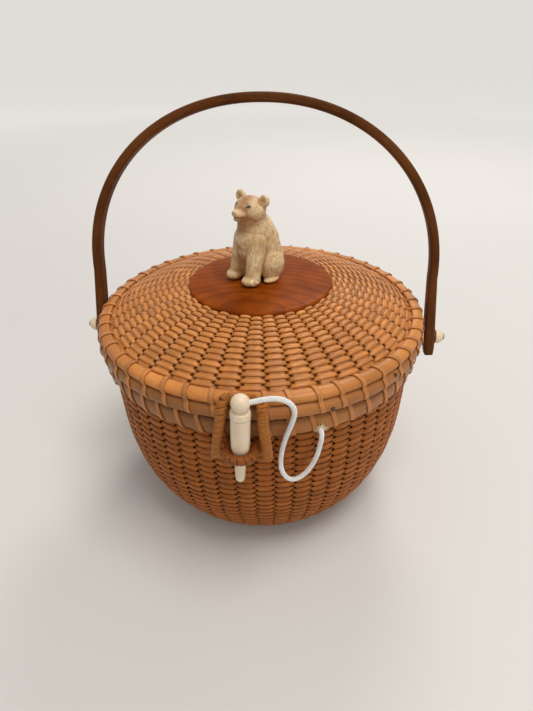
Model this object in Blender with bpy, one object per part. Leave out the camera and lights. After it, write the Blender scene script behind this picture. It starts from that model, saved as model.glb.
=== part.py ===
"""Round covered cane basket with a swing handle, a hinged lid, a carved seated bear and a peg clasp.

The basket stands on the XY plane with the centre of its base at the origin. The clasp faces -Y, the lid's
hinges are at +Y and the handle's pivots lie on a line along X. Everything is at rest: the lid is shut, the
peg is home in its ring and the handle leans a little back. Lengths are written in millimetres times MM.
"""

import math

import bmesh
import bpy
from mathutils import Matrix, Vector

MM = 0.001
TURN = 2 * math.pi

# How the pieces fit
GAP = 0.3 * MM
OVERRUN = 2.0 * MM
SIDES_AROUND = 40
SIDES_SMALL = 16

# Base board
BASE_RADIUS = 66.0 * MM
BASE_THICKNESS = 7.0 * MM
BASE_CHAMFER = 0.8 * MM
GROOVE_BOTTOM = 2.4 * MM
GROOVE_HEIGHT = 2.8 * MM
GROOVE_DEPTH = 5.0 * MM

# Woven wall of the basket
WALL_RADIUS = 94.4 * MM
WALL_HEIGHT = 117.6 * MM
WALL_STRAIGHT_PART = 10.5 * MM
WALL_THICKNESS = 3.0 * MM
WALL_POWER = 3.55
WALL_STEPS = 5
BASKET_STAVES = 55
BASKET_STAVE_START = math.radians(1.73)
STAVE_RELIEF = 1.2 * MM
HOOP_EASE = 0.25 * MM

# Hoops and lashing of the basket's rim
HOOP_HEIGHT = 10.2 * MM
HOOP_THICKNESS = 3.1 * MM
INNER_HOOP_THICKNESS = 2.6 * MM
HOOP_OUTLINE_SHARES = ((0.45, 0.0), (1.0, 0.3), (1.0, 0.7), (0.45, 1.0))
CAP_THICKNESS = 0.9 * MM
LASH_WIDTH = 2.6 * MM
LASH_THICKNESS = 0.6 * MM
LASH_SLANT = 3.4 * MM
BASKET_LASH_COUNT = 54
BASKET_LASH_START = math.radians(-90.3)

# Lid: woven dome, hoops and lashing
LID_OVERHANG = 5.6 * MM
LID_HOOP_THICKNESS = 6.8 * MM
LID_HOOP_HEIGHT = 11.9 * MM
LID_HOOP_OUTLINE_SHARES = ((0.53, 0.0), (1.0, 0.34), (0.98, 0.74), (0.6, 1.0))
LID_INNER_HOOP_HEIGHT = 8.2 * MM
LID_CAP_REACH = 0.6 * MM
LID_CAP_SLOPE = 0.6 * MM
LID_LASH_COUNT = 48
LID_LASH_START = math.radians(-97.2)
DOME_THICKNESS = 2.6 * MM
DOME_RISE = 27.7 * MM
DOME_SHOULDER = 12.4 * MM
DOME_SHOULDER_INSET = 0.2 * MM
DOME_POWER = 3.18
DOME_STEPS = 4
LID_STAVES = 45
LID_STAVE_START = math.radians(1.4)
CORNER = 2.0 * MM
CORNER_SHARES = ((1.0, 0.0), (0.3, 0.45), (0.0, 1.4))

# Turned top plate of the lid
PLATE_RADIUS = 43.8 * MM
PLATE_LIP = 1.3 * MM
PLATE_STEP = 0.9 * MM
PLATE_CROWN = 1.5 * MM
PLATE_FOOT = 2.0 * MM
PLATE_FOOT_INSET = 0.8 * MM
PLATE_GROOVE_DEPTH = 4.5 * MM
PLATE_STEPS = 3

# Handle and its pivots
PIVOT_DROP = 5.6 * MM
HANDLE_RISE = 137.2 * MM
HANDLE_SHOULDER = 38.0 * MM
HANDLE_CLEARANCE = 0.8 * MM
HANDLE_FLARE = 0.1
HANDLE_DROP = 11.3 * MM
HANDLE_POWER = 2.1
HANDLE_DEPTH = 9.5 * MM
HANDLE_THICKNESS = 5.0 * MM
HANDLE_FOOT_THICKNESS = 6.3 * MM
HANDLE_CHAMFER = 1.3 * MM
HANDLE_LEAN = math.radians(8.0)
HANDLE_ARCH_STEPS = 16
HANDLE_LEG_STEPS = 3
PIN_RADIUS = 1.6 * MM
PIN_HEAD_RADIUS = 3.4 * MM
PIN_HEAD_THICKNESS = 1.1 * MM
PIN_TIP_RADIUS = 2.3 * MM
PIN_TIP_LENGTH = 0.9 * MM
KNOB_RADIUS = 4.35 * MM
KNOB_LENGTH = 4.5 * MM
KNOB_OUTLINE_SHARES = ((0.96, 0.0), (1.0, 0.18), (0.94, 0.55), (0.75, 0.85), (0.56, 1.0))
WASHER_RADIUS = 4.0 * MM

# Clasp: ring on the wall, peg through it and hasp hung from the lid
CLASP_X = 0.7 * MM
PEG_STAND_OFF = 5.4 * MM
CANE_THICKNESS = 0.65 * MM
CANE_EASE = 0.36 * MM
RING_HALF_WIDTH = 6.55 * MM
RING_DROP = 12.4 * MM
RING_SLOPE = 0.257
RING_CORE_RADIUS = 1.2 * MM
RING_ARC_STEPS = 12
RING_WRAP_TURNS = 14
RING_WRAP_SHARE = 0.71
POINTS_A_TURN = 7
PEG_LENGTH = 55.6 * MM
PEG_RADIUS = 4.7 * MM
PEG_LEAN = math.radians(2.5)
PEG_TIP_DROP = 19.2 * MM
PEG_OUTLINE_SHARES = (
    (0.0, 0.0),
    (0.3, 0.006),
    (0.43, 0.035),
    (0.51, 0.12),
    (0.6, 0.22),
    (0.72, 0.325),
    (0.74, 0.372),
    (0.82, 0.4),
    (0.95, 0.43),
    (0.99, 0.5),
    (1.0, 0.7),
    (1.03, 0.712),
    (0.96, 0.722),
    (1.04, 0.735),
    (1.04, 0.79),
    (0.9, 0.825),
    (0.97, 0.87),
    (0.99, 0.91),
    (0.86, 0.955),
    (0.5, 0.99),
    (0.0, 1.0),
)
HASP_RISE = 3.2 * MM
HASP_INSET = 0.8 * MM
HASP_STAND_OFF = 3.9 * MM
HASP_DROP = 37.2 * MM
HASP_CORE_HALF_WIDTH = 1.38 * MM
HASP_CORE_HALF_THICKNESS = 0.36 * MM
HASP_LEFT_TOP = 8.0 * MM
HASP_LEFT_FOOT = 13.5 * MM
HASP_RIGHT_TOP = 10.4 * MM
HASP_RIGHT_FOOT = 12.95 * MM
HASP_BAR_SHARE = 0.5
HASP_LEG_SHARES = ((0.0, 0.35, -0.01), (0.12, 1.0, 0.17), (0.38, 1.0, 0.41), (0.72, 0.9, 0.7), (1.0, 0.64, 1.0))
HASP_WRAP_TURNS = 24
HASP_WRAP_SHARE = 0.72

# Hinges at the back
HINGE_X = 15.0 * MM
HINGE_ROD_RADIUS = 1.0 * MM
HINGE_STRAP_THICKNESS = 1.2 * MM
HINGE_BASKET_WIDTH = 11.4 * MM
HINGE_LID_WIDTH = 4.0 * MM
HINGE_STAND_OFF = 1.3 * MM
HINGE_ROD_OVERHANG = 0.5 * MM
HINGE_STRAP_LENGTH = 10.4 * MM
HINGE_LOOP_STEPS = 6
HINGE_LOOP_ANGLE = math.radians(240.0)

# Nails in the lid's hoop: angle round the hoop, and height as a share of the hoop's height
NAIL_PLACES = ((math.radians(-63.8), 0.26), (math.radians(-39.8), 0.57))
NAIL_HEAD_RADIUS = 1.2 * MM
NAIL_HEAD_THICKNESS = 0.6 * MM
NAIL_RADIUS = 0.6 * MM
NAIL_LENGTH = 4.5 * MM

# Cord from the peg's ball to a hole in the basket's hoop: its route in millimetres
CORD_DIAMETER = 2.4 * MM
CORD_HOLE_RADIUS = 1.6 * MM
CORD_HOLE_ANGLE = math.radians(-66.5)
CORD_HOLE_DROP = 7.7 * MM
CORD_ROUTE = (
    (7.6, -106.3, 137.5),
    (12.7, -106.3, 139.1),
    (18.2, -105.5, 139.3),
    (22.4, -104.3, 137.2),
    (25.4, -102.9, 133.2),
    (26.2, -101.6, 128.2),
    (25.2, -100.2, 121.5),
    (23.2, -99.1, 114.0),
    (21.2, -98.3, 106.0),
    (20.0, -97.4, 98.0),
    (19.6, -96.6, 90.0),
    (20.6, -95.8, 83.2),
    (23.4, -95.0, 78.1),
    (27.2, -94.3, 77.2),
    (31.4, -93.7, 80.2),
    (35.2, -93.3, 86.4),
    (37.8, -93.3, 94.2),
    (39.1, -93.9, 102.6),
    (39.6, -93.6, 107.6),
    (39.2, -91.4, 109.8),
    (38.35, -88.2, 109.9),
    (37.9, -87.15, 109.9),
)
CORD_POINTS_BETWEEN = 2

# Seated bear: each lump's centre and half sizes as shares of the bear's height, with its front along +X
BEAR_HEIGHT = 51.0 * MM
BEAR_PLACE = (-3.0 * MM, 5.0 * MM)
BEAR_FACING = math.radians(-128.0)
BEAR_GRAIN = 1.5 * MM
BEAR_DETAIL = 0.16
BEAR_LUMP_SHARES = (
    ((-0.1, 0.0, 0.2), (0.235, 0.25, 0.235)),
    ((-0.02, 0.0, 0.4), (0.2, 0.21, 0.26)),
    ((0.09, 0.0, 0.5), (0.16, 0.185, 0.18)),
    ((0.1, 0.0, 0.65), (0.145, 0.15, 0.15)),
    ((0.12, 0.0, 0.81), (0.165, 0.165, 0.155)),
    ((0.26, 0.0, 0.775), (0.1, 0.078, 0.07)),
    ((0.07, 0.14, 0.94), (0.045, 0.06, 0.06)),
    ((0.07, -0.14, 0.94), (0.045, 0.06, 0.06)),
    ((-0.04, 0.19, 0.17), (0.17, 0.1, 0.17)),
    ((-0.04, -0.19, 0.17), (0.17, 0.1, 0.17)),
    ((0.1, 0.235, 0.04), (0.11, 0.06, 0.055)),
    ((0.1, -0.235, 0.04), (0.11, 0.06, 0.055)),
    ((0.16, 0.14, 0.42), (0.085, 0.08, 0.16)),
    ((0.16, -0.14, 0.42), (0.085, 0.08, 0.16)),
    ((0.2, 0.14, 0.22), (0.07, 0.07, 0.2)),
    ((0.2, -0.14, 0.22), (0.07, 0.07, 0.2)),
    ((0.24, 0.14, 0.05), (0.09, 0.075, 0.06)),
    ((0.24, -0.14, 0.05), (0.09, 0.075, 0.06)),
)
SCREW_RADIUS = 1.5 * MM
SCREW_HEAD_RADIUS = 3.6 * MM
SCREW_HEAD_THICKNESS = 1.7 * MM
SCREW_BITE = 10.0 * MM

# Places worked out from the sizes above
WALL_STRAIGHT_FROM = WALL_HEIGHT - WALL_STRAIGHT_PART
PIVOT_HEIGHT = WALL_HEIGHT - PIVOT_DROP
RING_HEIGHT = WALL_HEIGHT - RING_DROP
CORD_HOLE_HEIGHT = WALL_HEIGHT - CORD_HOLE_DROP
LID_RADIUS = WALL_RADIUS + LID_OVERHANG
HANDLE_HALF_WIDTH = LID_RADIUS + HANDLE_THICKNESS + HANDLE_CLEARANCE
LASH_REACH = GAP + LASH_THICKNESS
HOOP_INNER = WALL_RADIUS + GAP
HOOP_OUTER = HOOP_INNER + HOOP_THICKNESS
HOOP_BOTTOM = WALL_HEIGHT - HOOP_HEIGHT
INNER_HOOP_OUTER = WALL_RADIUS - WALL_THICKNESS - GAP
INNER_HOOP_INNER = INNER_HOOP_OUTER - INNER_HOOP_THICKNESS
CAP_BOTTOM = WALL_HEIGHT + GAP
RIM_TOP = CAP_BOTTOM + CAP_THICKNESS
LID_BOTTOM = RIM_TOP + GAP
LID_HOOP_INNER = LID_RADIUS - LID_HOOP_THICKNESS
LID_HOOP_TOP = LID_BOTTOM + LID_HOOP_HEIGHT
SKIRT_RADIUS = LID_HOOP_INNER - GAP
DOME_EDGE_RADIUS = SKIRT_RADIUS - DOME_SHOULDER_INSET
DOME_EDGE_Z = LID_BOTTOM + DOME_SHOULDER
DOME_PLATE_RADIUS = PLATE_RADIUS + GAP
DOME_PLATE_Z = LID_BOTTOM + DOME_RISE
PLATE_EDGE_Z = DOME_PLATE_Z + PLATE_STEP
PLATE_CROWN_Z = PLATE_EDGE_Z + PLATE_CROWN
PLATE_GROOVE_TOP = PLATE_EDGE_Z - PLATE_LIP
TONGUE_TOP = PLATE_GROOVE_TOP - GAP
TONGUE_BOTTOM = TONGUE_TOP - DOME_THICKNESS
PLATE_GROOVE_BOTTOM = TONGUE_BOTTOM - GAP
PLATE_BOTTOM = PLATE_GROOVE_BOTTOM - PLATE_FOOT
PEG_Y = -(LID_RADIUS + LASH_REACH + PEG_STAND_OFF)
HASP_Z = LID_HOOP_TOP + HASP_RISE
HASP_Y = -(LID_RADIUS - HASP_INSET)
HINGE_Y = LID_RADIUS + LASH_REACH + HINGE_STAND_OFF
HINGE_Z = LID_BOTTOM - GAP / 2
HINGE_LOOP_RADIUS = HINGE_ROD_RADIUS + GAP + HINGE_STRAP_THICKNESS / 2
PIVOT_HALF_WIDTH = HANDLE_HALF_WIDTH + HANDLE_FLARE * HANDLE_SHOULDER
LEG_SPREAD = HANDLE_FLARE * KNOB_RADIUS
KNOB_X = PIVOT_HALF_WIDTH + LEG_SPREAD + GAP
WASHER_X = HOOP_OUTER + LASH_REACH + GAP
WASHER_THICKNESS = PIVOT_HALF_WIDTH - HANDLE_FOOT_THICKNESS - LEG_SPREAD - GAP - WASHER_X
PIN_HEAD_SEAT = GAP + PIN_HEAD_RADIUS * math.tan(math.pi / SIDES_AROUND)
PIN_HEAD_X = INNER_HOOP_INNER - PIN_HEAD_SEAT - PIN_HEAD_THICKNESS

IVORY = ("ivory", (0.80, 0.72, 0.57, 1.0), 0.35, 0.0)
CANE = ("cane", (0.60, 0.31, 0.12, 1.0), 0.4, 0.0)
DARK_CANE = ("dark cane", (0.44, 0.23, 0.11, 1.0), 0.45, 0.0)
HOOP_WOOD = ("hoop wood", (0.52, 0.29, 0.13, 1.0), 0.38, 0.0)
CHERRY = ("cherry", (0.36, 0.13, 0.055, 1.0), 0.35, 0.0)
WALNUT = ("walnut", (0.13, 0.062, 0.03, 1.0), 0.5, 0.0)
BONE = ("bone", (0.72, 0.60, 0.40, 1.0), 0.5, 0.0)
BRASS = ("brass", (0.55, 0.38, 0.16, 1.0), 0.35, 1.0)
LEATHER = ("leather", (0.28, 0.13, 0.06, 1.0), 0.6, 0.0)
COTTON = ("cotton", (0.84, 0.81, 0.75, 1.0), 0.85, 0.0)


def material_of(look):
    """The material for one look, made the first time that it is asked for."""
    name, colour, roughness, metallic = look
    material = bpy.data.materials.get(name)
    if material:
        return material
    material = bpy.data.materials.new(name)
    material.use_nodes = True
    shader = material.node_tree.nodes["Principled BSDF"]
    shader.inputs["Base Color"].default_value = colour
    shader.inputs["Roughness"].default_value = roughness
    shader.inputs["Metallic"].default_value = metallic
    material.diffuse_color = colour
    return material


def add_object(name, shape, look, carrier=None):
    """Turns a bmesh into a named object, carried by an empty if one is given."""
    bmesh.ops.recalc_face_normals(shape, faces=shape.faces[:])
    if shape.calc_volume(signed=True) < 0.0:
        bmesh.ops.reverse_faces(shape, faces=shape.faces[:])
    mesh = bpy.data.meshes.new(name)
    shape.to_mesh(mesh)
    shape.free()
    mesh.shade_smooth()
    mesh.set_sharp_from_angle(angle=math.radians(35))
    mesh.materials.append(material_of(look))
    made = bpy.data.objects.new(name, mesh)
    bpy.context.scene.collection.objects.link(made)
    if carrier:
        made.parent = carrier
        made.matrix_parent_inverse = carrier.matrix_world.inverted()
    return made


def add_carrier(name, place):
    """An empty on a joint's axis, which carries the pieces that move there."""
    carrier = bpy.data.objects.new(name, None)
    carrier.location = place
    bpy.context.scene.collection.objects.link(carrier)
    bpy.context.view_layer.update()
    return carrier


def cut(target, shape, label):
    """Cuts a bmesh shape out of a piece, and keeps the cutter out of the model."""
    cutter = add_object(f"cutter {label}", shape, CANE)
    cutter.hide_render = True
    cutter.display_type = "WIRE"
    modifier = target.modifiers.new(label, "BOOLEAN")
    modifier.operation = "DIFFERENCE"
    modifier.solver = "EXACT"
    modifier.object = cutter


def turned_shape(outline, sides=SIDES_AROUND):
    """Spins an outline of (radius, height) points round Z. One that starts and ends on the axis stays open."""
    shape = bmesh.new()
    points = [shape.verts.new((radius, 0.0, height)) for radius, height in outline]
    edges = [shape.edges.new(pair) for pair in zip(points, points[1:])]
    if outline[0][0] > 0.0:
        edges.append(shape.edges.new((points[-1], points[0])))
    bmesh.ops.spin(
        shape, geom=points + edges, cent=(0, 0, 0), axis=(0, 0, 1), angle=TURN, steps=sides, use_merge=True
    )
    bmesh.ops.remove_doubles(shape, verts=shape.verts[:], dist=GAP / 1000)
    return shape


def woven_shell_shape(outline, staves, start, ribbed):
    """A turned shell with a crest over each stave and a valley between two.

    outline holds (radius, height) points. Its rings numbered in ribbed have two sides to a stave and sink between
    the staves, and the others have one side to a stave.
    """
    shape = bmesh.new()
    sides = 2 * staves
    area = sum(a[0] * b[1] - b[0] * a[1] for a, b in zip(outline, outline[1:] + outline[:1]))
    inwards = math.copysign(STAVE_RELIEF, area)
    rings = []
    for index, (radius, height) in enumerate(outline):
        before, after = outline[index - 1], outline[(index + 1) % len(outline)]
        length = math.hypot(after[0] - before[0], after[1] - before[1])
        sunk = (
            radius - inwards * (after[1] - before[1]) / length,
            height + inwards * (after[0] - before[0]) / length,
        )
        ring = []
        for side in range(sides):
            if side % 2 and index not in ribbed:
                ring.append(ring[-1])
                continue
            reach, level = sunk if side % 2 else (radius, height)
            angle = start + TURN * side / sides
            ring.append(shape.verts.new((reach * math.cos(angle), reach * math.sin(angle), level)))
        rings.append(ring)
    for near, far in zip(rings, rings[1:] + rings[:1]):
        for side in range(sides):
            after = (side + 1) % sides
            corners = list(dict.fromkeys((near[side], near[after], far[after], far[side])))
            if len(corners) > 2:
                shape.faces.new(corners)
    return shape


def aim_along_x(shape, side, start):
    """Lays a shape that was turned round Z along X, from start outwards on the given side."""
    turn = Matrix.Rotation(side * TURN / 4, 4, "Y")
    shape.transform(Matrix.Translation((side * start, 0.0, PIVOT_HEIGHT)) @ turn)


def rod_shape(radius, length, sides=SIDES_SMALL):
    """A plain rod that stands on the origin along Z."""
    return turned_shape(((0.0, 0.0), (radius, 0.0), (radius, length), (0.0, length)), sides)


def swept_shape(rings):
    """Joins rings of points, one along each station of a path, into one closed shape with flat ends."""
    shape = bmesh.new()
    made = [[shape.verts.new(point) for point in ring] for ring in rings]
    for near, far in zip(made, made[1:]):
        for index in range(len(near)):
            after = (index + 1) % len(near)
            shape.faces.new((near[index], near[after], far[after], far[index]))
    shape.faces.new(made[0])
    shape.faces.new(made[-1])
    return shape


def smooth_route(points, between):
    """A curve through hand-set points, with some points between each two of them."""
    route = []
    ends = [points[0], *points, points[-1]]
    for before, start, stop, after in zip(ends, ends[1:], ends[2:], ends[3:]):
        for step in range(between):
            t = step / between
            pull = (2 * before - 5 * start + 4 * stop - after) * t**2
            twist = (3 * start - before - 3 * stop + after) * t**3
            route.append((2 * start + (stop - before) * t + pull + twist) / 2)
    route.append(points[-1])
    return route


def rounded_corners(points, times):
    """Cuts the corners of a line of points, which keeps its two ends."""
    for _ in range(times):
        cuts = [points[0]]
        for start, stop in zip(points, points[1:]):
            cuts.extend((start.lerp(stop, 0.25), start.lerp(stop, 0.75)))
        points = [*cuts, points[-1]]
    return points


class Spine:
    """A path through space that gives its place and its two cross directions at any length along it."""

    def __init__(self, points, across):
        self.points = points
        self.across = across
        self.lengths = [0.0]
        for start, stop in zip(points, points[1:]):
            self.lengths.append(self.lengths[-1] + (stop - start).length)
        self.length = self.lengths[-1]

    def direction(self, index):
        """The path's direction at one of its points, between those of its two runs."""
        before = self.points[max(index - 1, 0)]
        after = self.points[min(index + 1, len(self.points) - 1)]
        return (after - before).normalized()

    def frame(self, length):
        """Place, side direction and up direction at a length along the path."""
        index = 0
        while index < len(self.points) - 2 and self.lengths[index + 1] < length:
            index += 1
        share = (length - self.lengths[index]) / (self.lengths[index + 1] - self.lengths[index])
        place = self.points[index].lerp(self.points[index + 1], share)
        along = self.direction(index).lerp(self.direction(index + 1), share).normalized()
        side = self.across(along)
        return place, side, along.cross(side).normalized()


def core_shape(spine, half_width, half_height, sides):
    """A solid of oval section along a spine."""
    rings = []
    for length in spine.lengths:
        place, side, up = spine.frame(length)
        turns = [TURN * index / sides for index in range(sides)]
        rings.append([place + side * half_width * math.cos(a) + up * half_height * math.sin(a) for a in turns])
    return swept_shape(rings)


def wrap_shape(name, spine, half_width, half_height, turns, width_share):
    """One unbroken flat strip wound round an oval core, and a print of the least gap between its turns."""
    pitch = (spine.length - 2 * GAP) / (turns + width_share)
    half_strip = pitch * width_share / 2
    first = GAP + half_strip
    count = turns * POINTS_A_TURN
    rings = []
    for index in range(count + 1):
        angle = TURN * index / POINTS_A_TURN
        middle = first + pitch * index / POINTS_A_TURN
        corners = []
        for offset, rise in ((-half_strip, 0.0), (half_strip, 0.0), (half_strip, 1.0), (-half_strip, 1.0)):
            place, side, up = spine.frame(middle + offset)
            stand_off = wrap_clearance(half_width, half_height) + rise * CANE_THICKNESS
            reach = side * (half_width + stand_off) * math.cos(angle)
            corners.append(place + reach + up * (half_height + stand_off) * math.sin(angle))
        rings.append(corners)
    least = min(
        (after[near] - before[far]).length
        for index, after in enumerate(rings[POINTS_A_TURN:])
        for before in rings[max(index - 1, 0) : index + 2]
        for near, far in ((0, 1), (3, 2))
    )
    print(f"{name}: {turns} turns, least gap {least / MM:.2f} mm")
    return swept_shape(rings)


def wrap_clearance(half_width, half_height):
    """How far the strip's points stand off, so that its flat runs clear the core also at its bends."""
    sag = 1.0 - math.cos(math.pi / POINTS_A_TURN)
    return GAP + CANE_EASE + max(half_width, half_height) * sag


def hoop_outline(inner, bottom, thickness, height, shares):
    """Outline of a hoop with a flat inner face, and its outer points from the bottom up."""
    outer = [(inner + out * thickness, bottom + up * height) for out, up in shares]
    return [(inner, bottom), *outer, (inner, bottom + height)], outer


def lashed_cap_shape(cap, outer, lashes, start):
    """A strip that caps the hoops, with the lashing's flat runs going down the outer hoop's face from it.

    cap holds the strip's corners in order: inner bottom, outer bottom, outer top, inner top.
    """
    shape = bmesh.new()
    radius = cap[1][0]
    half = LASH_WIDTH / radius / 2
    height = outer[-1][1] - outer[0][1]

    def corner(angle, point):
        return shape.verts.new((point[0] * math.cos(angle), point[0] * math.sin(angle), point[1]))

    angles = []
    for index in range(lashes):
        centre = start + TURN * index / lashes
        angles.extend((centre - half, centre + half))
    rings = []
    for index, angle in enumerate(angles):
        ring = [corner(angle, point) for point in cap[1:3]]
        if index % 2:
            rings.append([rings[-1][0], *ring, rings[-1][3]])
        else:
            rings.append([corner(angle, cap[0]), *ring, corner(angle, cap[3])])
    for index, ring in enumerate(rings):
        after = rings[(index + 1) % len(rings)]
        is_lash = index % 2 == 0
        for side in range(len(cap)):
            if is_lash and side == 1:
                continue
            other = (side + 1) % len(cap)
            corners = list(dict.fromkeys((ring[side], ring[other], after[other], after[side])))
            if len(corners) > 2:
                shape.faces.new(corners)
        if not is_lash:
            continue
        station = [ring[1], after[1], after[2], ring[2]]
        for reach, level in reversed(outer[:-1]):
            shift = LASH_SLANT / radius * (outer[-1][1] - level) / height
            near, far = (reach + GAP, level), (reach + LASH_REACH, level)
            low, high = angles[index] + shift, angles[index + 1] + shift
            lower = [corner(low, near), corner(high, near), corner(high, far), corner(low, far)]
            for side in range(4):
                other = (side + 1) % 4
                shape.faces.new((station[side], station[other], lower[other], lower[side]))
            station = lower
        shape.faces.new(station)
    return shape


def wall_radius(height):
    """Outer radius of the basket's wall at a height: a bowl that grows upright towards the rim."""
    share = min(height / WALL_STRAIGHT_FROM, 1.0)
    return BASE_RADIUS + (WALL_RADIUS - BASE_RADIUS) * (1.0 - (1.0 - share) ** WALL_POWER)


def dome_height(radius):
    """Height of the lid's woven top at a radius, between the top plate and the shoulder."""
    spread = DOME_EDGE_RADIUS**DOME_POWER - DOME_PLATE_RADIUS**DOME_POWER
    share = (DOME_EDGE_RADIUS**DOME_POWER - radius**DOME_POWER) / spread
    return DOME_EDGE_Z + (DOME_PLATE_Z - DOME_EDGE_Z) * share


def make_base_board():
    """Turned board that the basket stands on, grooved round its edge for the staves."""
    top = GROOVE_BOTTOM + GROOVE_HEIGHT
    groove = BASE_RADIUS - GROOVE_DEPTH
    outline = (
        (0.0, 0.0),
        (BASE_RADIUS - BASE_CHAMFER, 0.0),
        (BASE_RADIUS, BASE_CHAMFER),
        (BASE_RADIUS, GROOVE_BOTTOM),
        (groove, GROOVE_BOTTOM),
        (groove, top),
        (BASE_RADIUS, top),
        (BASE_RADIUS, BASE_THICKNESS - BASE_CHAMFER),
        (BASE_RADIUS - BASE_CHAMFER, BASE_THICKNESS),
        (0.0, BASE_THICKNESS),
    )
    add_object("base_board", turned_shape(outline), CHERRY)


def make_basket_wall():
    """Staves and weavers of the basket as one woven shell, its foot held in the base board's groove."""
    foot_bottom = GROOVE_BOTTOM + GAP
    foot_top = GROOVE_BOTTOM + GROOVE_HEIGHT - GAP
    foot_radius = BASE_RADIUS - GROOVE_DEPTH + GAP
    steps = [index / WALL_STEPS for index in range(WALL_STEPS + 1)]
    bend = [foot_top + (WALL_STRAIGHT_FROM - foot_top) * share**1.5 for share in steps]
    outer = [(wall_radius(height), height) for height in (foot_bottom, *bend[:-1])]
    outer += [(WALL_RADIUS - HOOP_EASE, height) for height in (bend[-1], WALL_HEIGHT)]
    inner = [(WALL_RADIUS - WALL_THICKNESS + HOOP_EASE / 2, height) for height in (WALL_HEIGHT, bend[-1])]
    inner += [(wall_radius(height) - WALL_THICKNESS, height) for height in (*reversed(bend[2:-2]), bend[0])]
    outline = [(foot_radius, foot_top), (foot_radius, foot_bottom), *outer, *inner]
    first, top = outline.index(outer[1]), outline.index(outer[-1])
    shell = woven_shell_shape(outline, BASKET_STAVES, BASKET_STAVE_START, range(first, top))
    wall = add_object("basket_wall", shell, DARK_CANE)
    cut_pivot_hole(wall)


def pivot_hole_shape():
    """A rod from side to side of the basket, for the holes of both pivot pins."""
    half = KNOB_X + OVERRUN
    shape = rod_shape(PIN_RADIUS + GAP, 2 * half)
    shape.transform(Matrix.Translation((-half, 0.0, PIVOT_HEIGHT)) @ Matrix.Rotation(TURN / 4, 4, "Y"))
    return shape


def cut_pivot_hole(piece):
    cut(piece, pivot_hole_shape(), f"pivot holes of {piece.name}")


def radial_rod_shape(radius, start, length, angle, height):
    """A rod that points outwards from the basket's axis."""
    shape = rod_shape(radius, length, SIDES_SMALL)
    turn = Matrix.Rotation(angle, 4, "Z") @ Matrix.Translation((start, 0.0, height))
    shape.transform(turn @ Matrix.Rotation(TURN / 4, 4, "Y"))
    return shape


def make_basket_rim():
    """Outer and inner hoop of the basket, and the capped lashing that binds them to the wall."""
    outline, outer = hoop_outline(HOOP_INNER, HOOP_BOTTOM, HOOP_THICKNESS, HOOP_HEIGHT, HOOP_OUTLINE_SHARES)
    hoop = add_object("basket_outer_hoop", turned_shape(outline), HOOP_WOOD)
    cut_pivot_hole(hoop)
    hole = radial_rod_shape(
        CORD_HOLE_RADIUS, HOOP_INNER - OVERRUN, HOOP_THICKNESS + 2 * OVERRUN, CORD_HOLE_ANGLE, CORD_HOLE_HEIGHT
    )
    cut(hoop, hole, "cord hole")
    inner_outline = (
        (INNER_HOOP_INNER, HOOP_BOTTOM),
        (INNER_HOOP_OUTER, HOOP_BOTTOM),
        (INNER_HOOP_OUTER, WALL_HEIGHT),
        (INNER_HOOP_INNER, WALL_HEIGHT),
    )
    inner_hoop = add_object("basket_inner_hoop", turned_shape(inner_outline), HOOP_WOOD)
    cut_pivot_hole(inner_hoop)
    cap_outer = outer[-1][0] + GAP
    cap = (
        (INNER_HOOP_INNER, CAP_BOTTOM),
        (cap_outer, CAP_BOTTOM),
        (cap_outer, RIM_TOP),
        (INNER_HOOP_INNER, RIM_TOP),
    )
    lashing = lashed_cap_shape(cap, outer, BASKET_LASH_COUNT, BASKET_LASH_START)
    add_object("basket_rim_lashing", lashing, CANE)


def make_lid_dome(carrier):
    """Woven top of the lid, from the tongue in the top plate's groove to the skirt between the hoops."""
    tongue_radius = PLATE_RADIUS - PLATE_GROOVE_DEPTH + GAP
    bend_radius = SKIRT_RADIUS - CORNER
    steps = [index / DOME_STEPS for index in range(DOME_STEPS + 1)]
    radii = [DOME_PLATE_RADIUS + (bend_radius - DOME_PLATE_RADIUS) * share for share in steps]
    bend_z = dome_height(bend_radius)
    dome = [(radius, dome_height(radius)) for radius in radii]
    skirt = SKIRT_RADIUS - HOOP_EASE
    corner = [(skirt - inset * CORNER, bend_z - drop * CORNER) for inset, drop in CORNER_SHARES[1:]]
    inside_skirt = SKIRT_RADIUS - DOME_THICKNESS + HOOP_EASE
    inside_radii = [radius for radius in reversed(radii) if radius < inside_skirt - CORNER / 2]
    inside = [(inside_skirt, bend_z - CORNER - DOME_THICKNESS)]
    inside += [(radius, dome_height(radius) - DOME_THICKNESS - GAP) for radius in inside_radii[:-1]]
    outline = [
        (tongue_radius, TONGUE_BOTTOM),
        (tongue_radius, TONGUE_TOP),
        (DOME_PLATE_RADIUS, TONGUE_TOP),
        *dome,
        *corner,
        (skirt, LID_BOTTOM),
        (inside_skirt, LID_BOTTOM),
        *inside,
        (DOME_PLATE_RADIUS, TONGUE_BOTTOM),
    ]
    first = outline.index(dome[0])
    shell = woven_shell_shape(outline, LID_STAVES, LID_STAVE_START, range(first + 1, first + len(dome)))
    add_object("lid_dome", shell, CANE, carrier)


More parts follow.
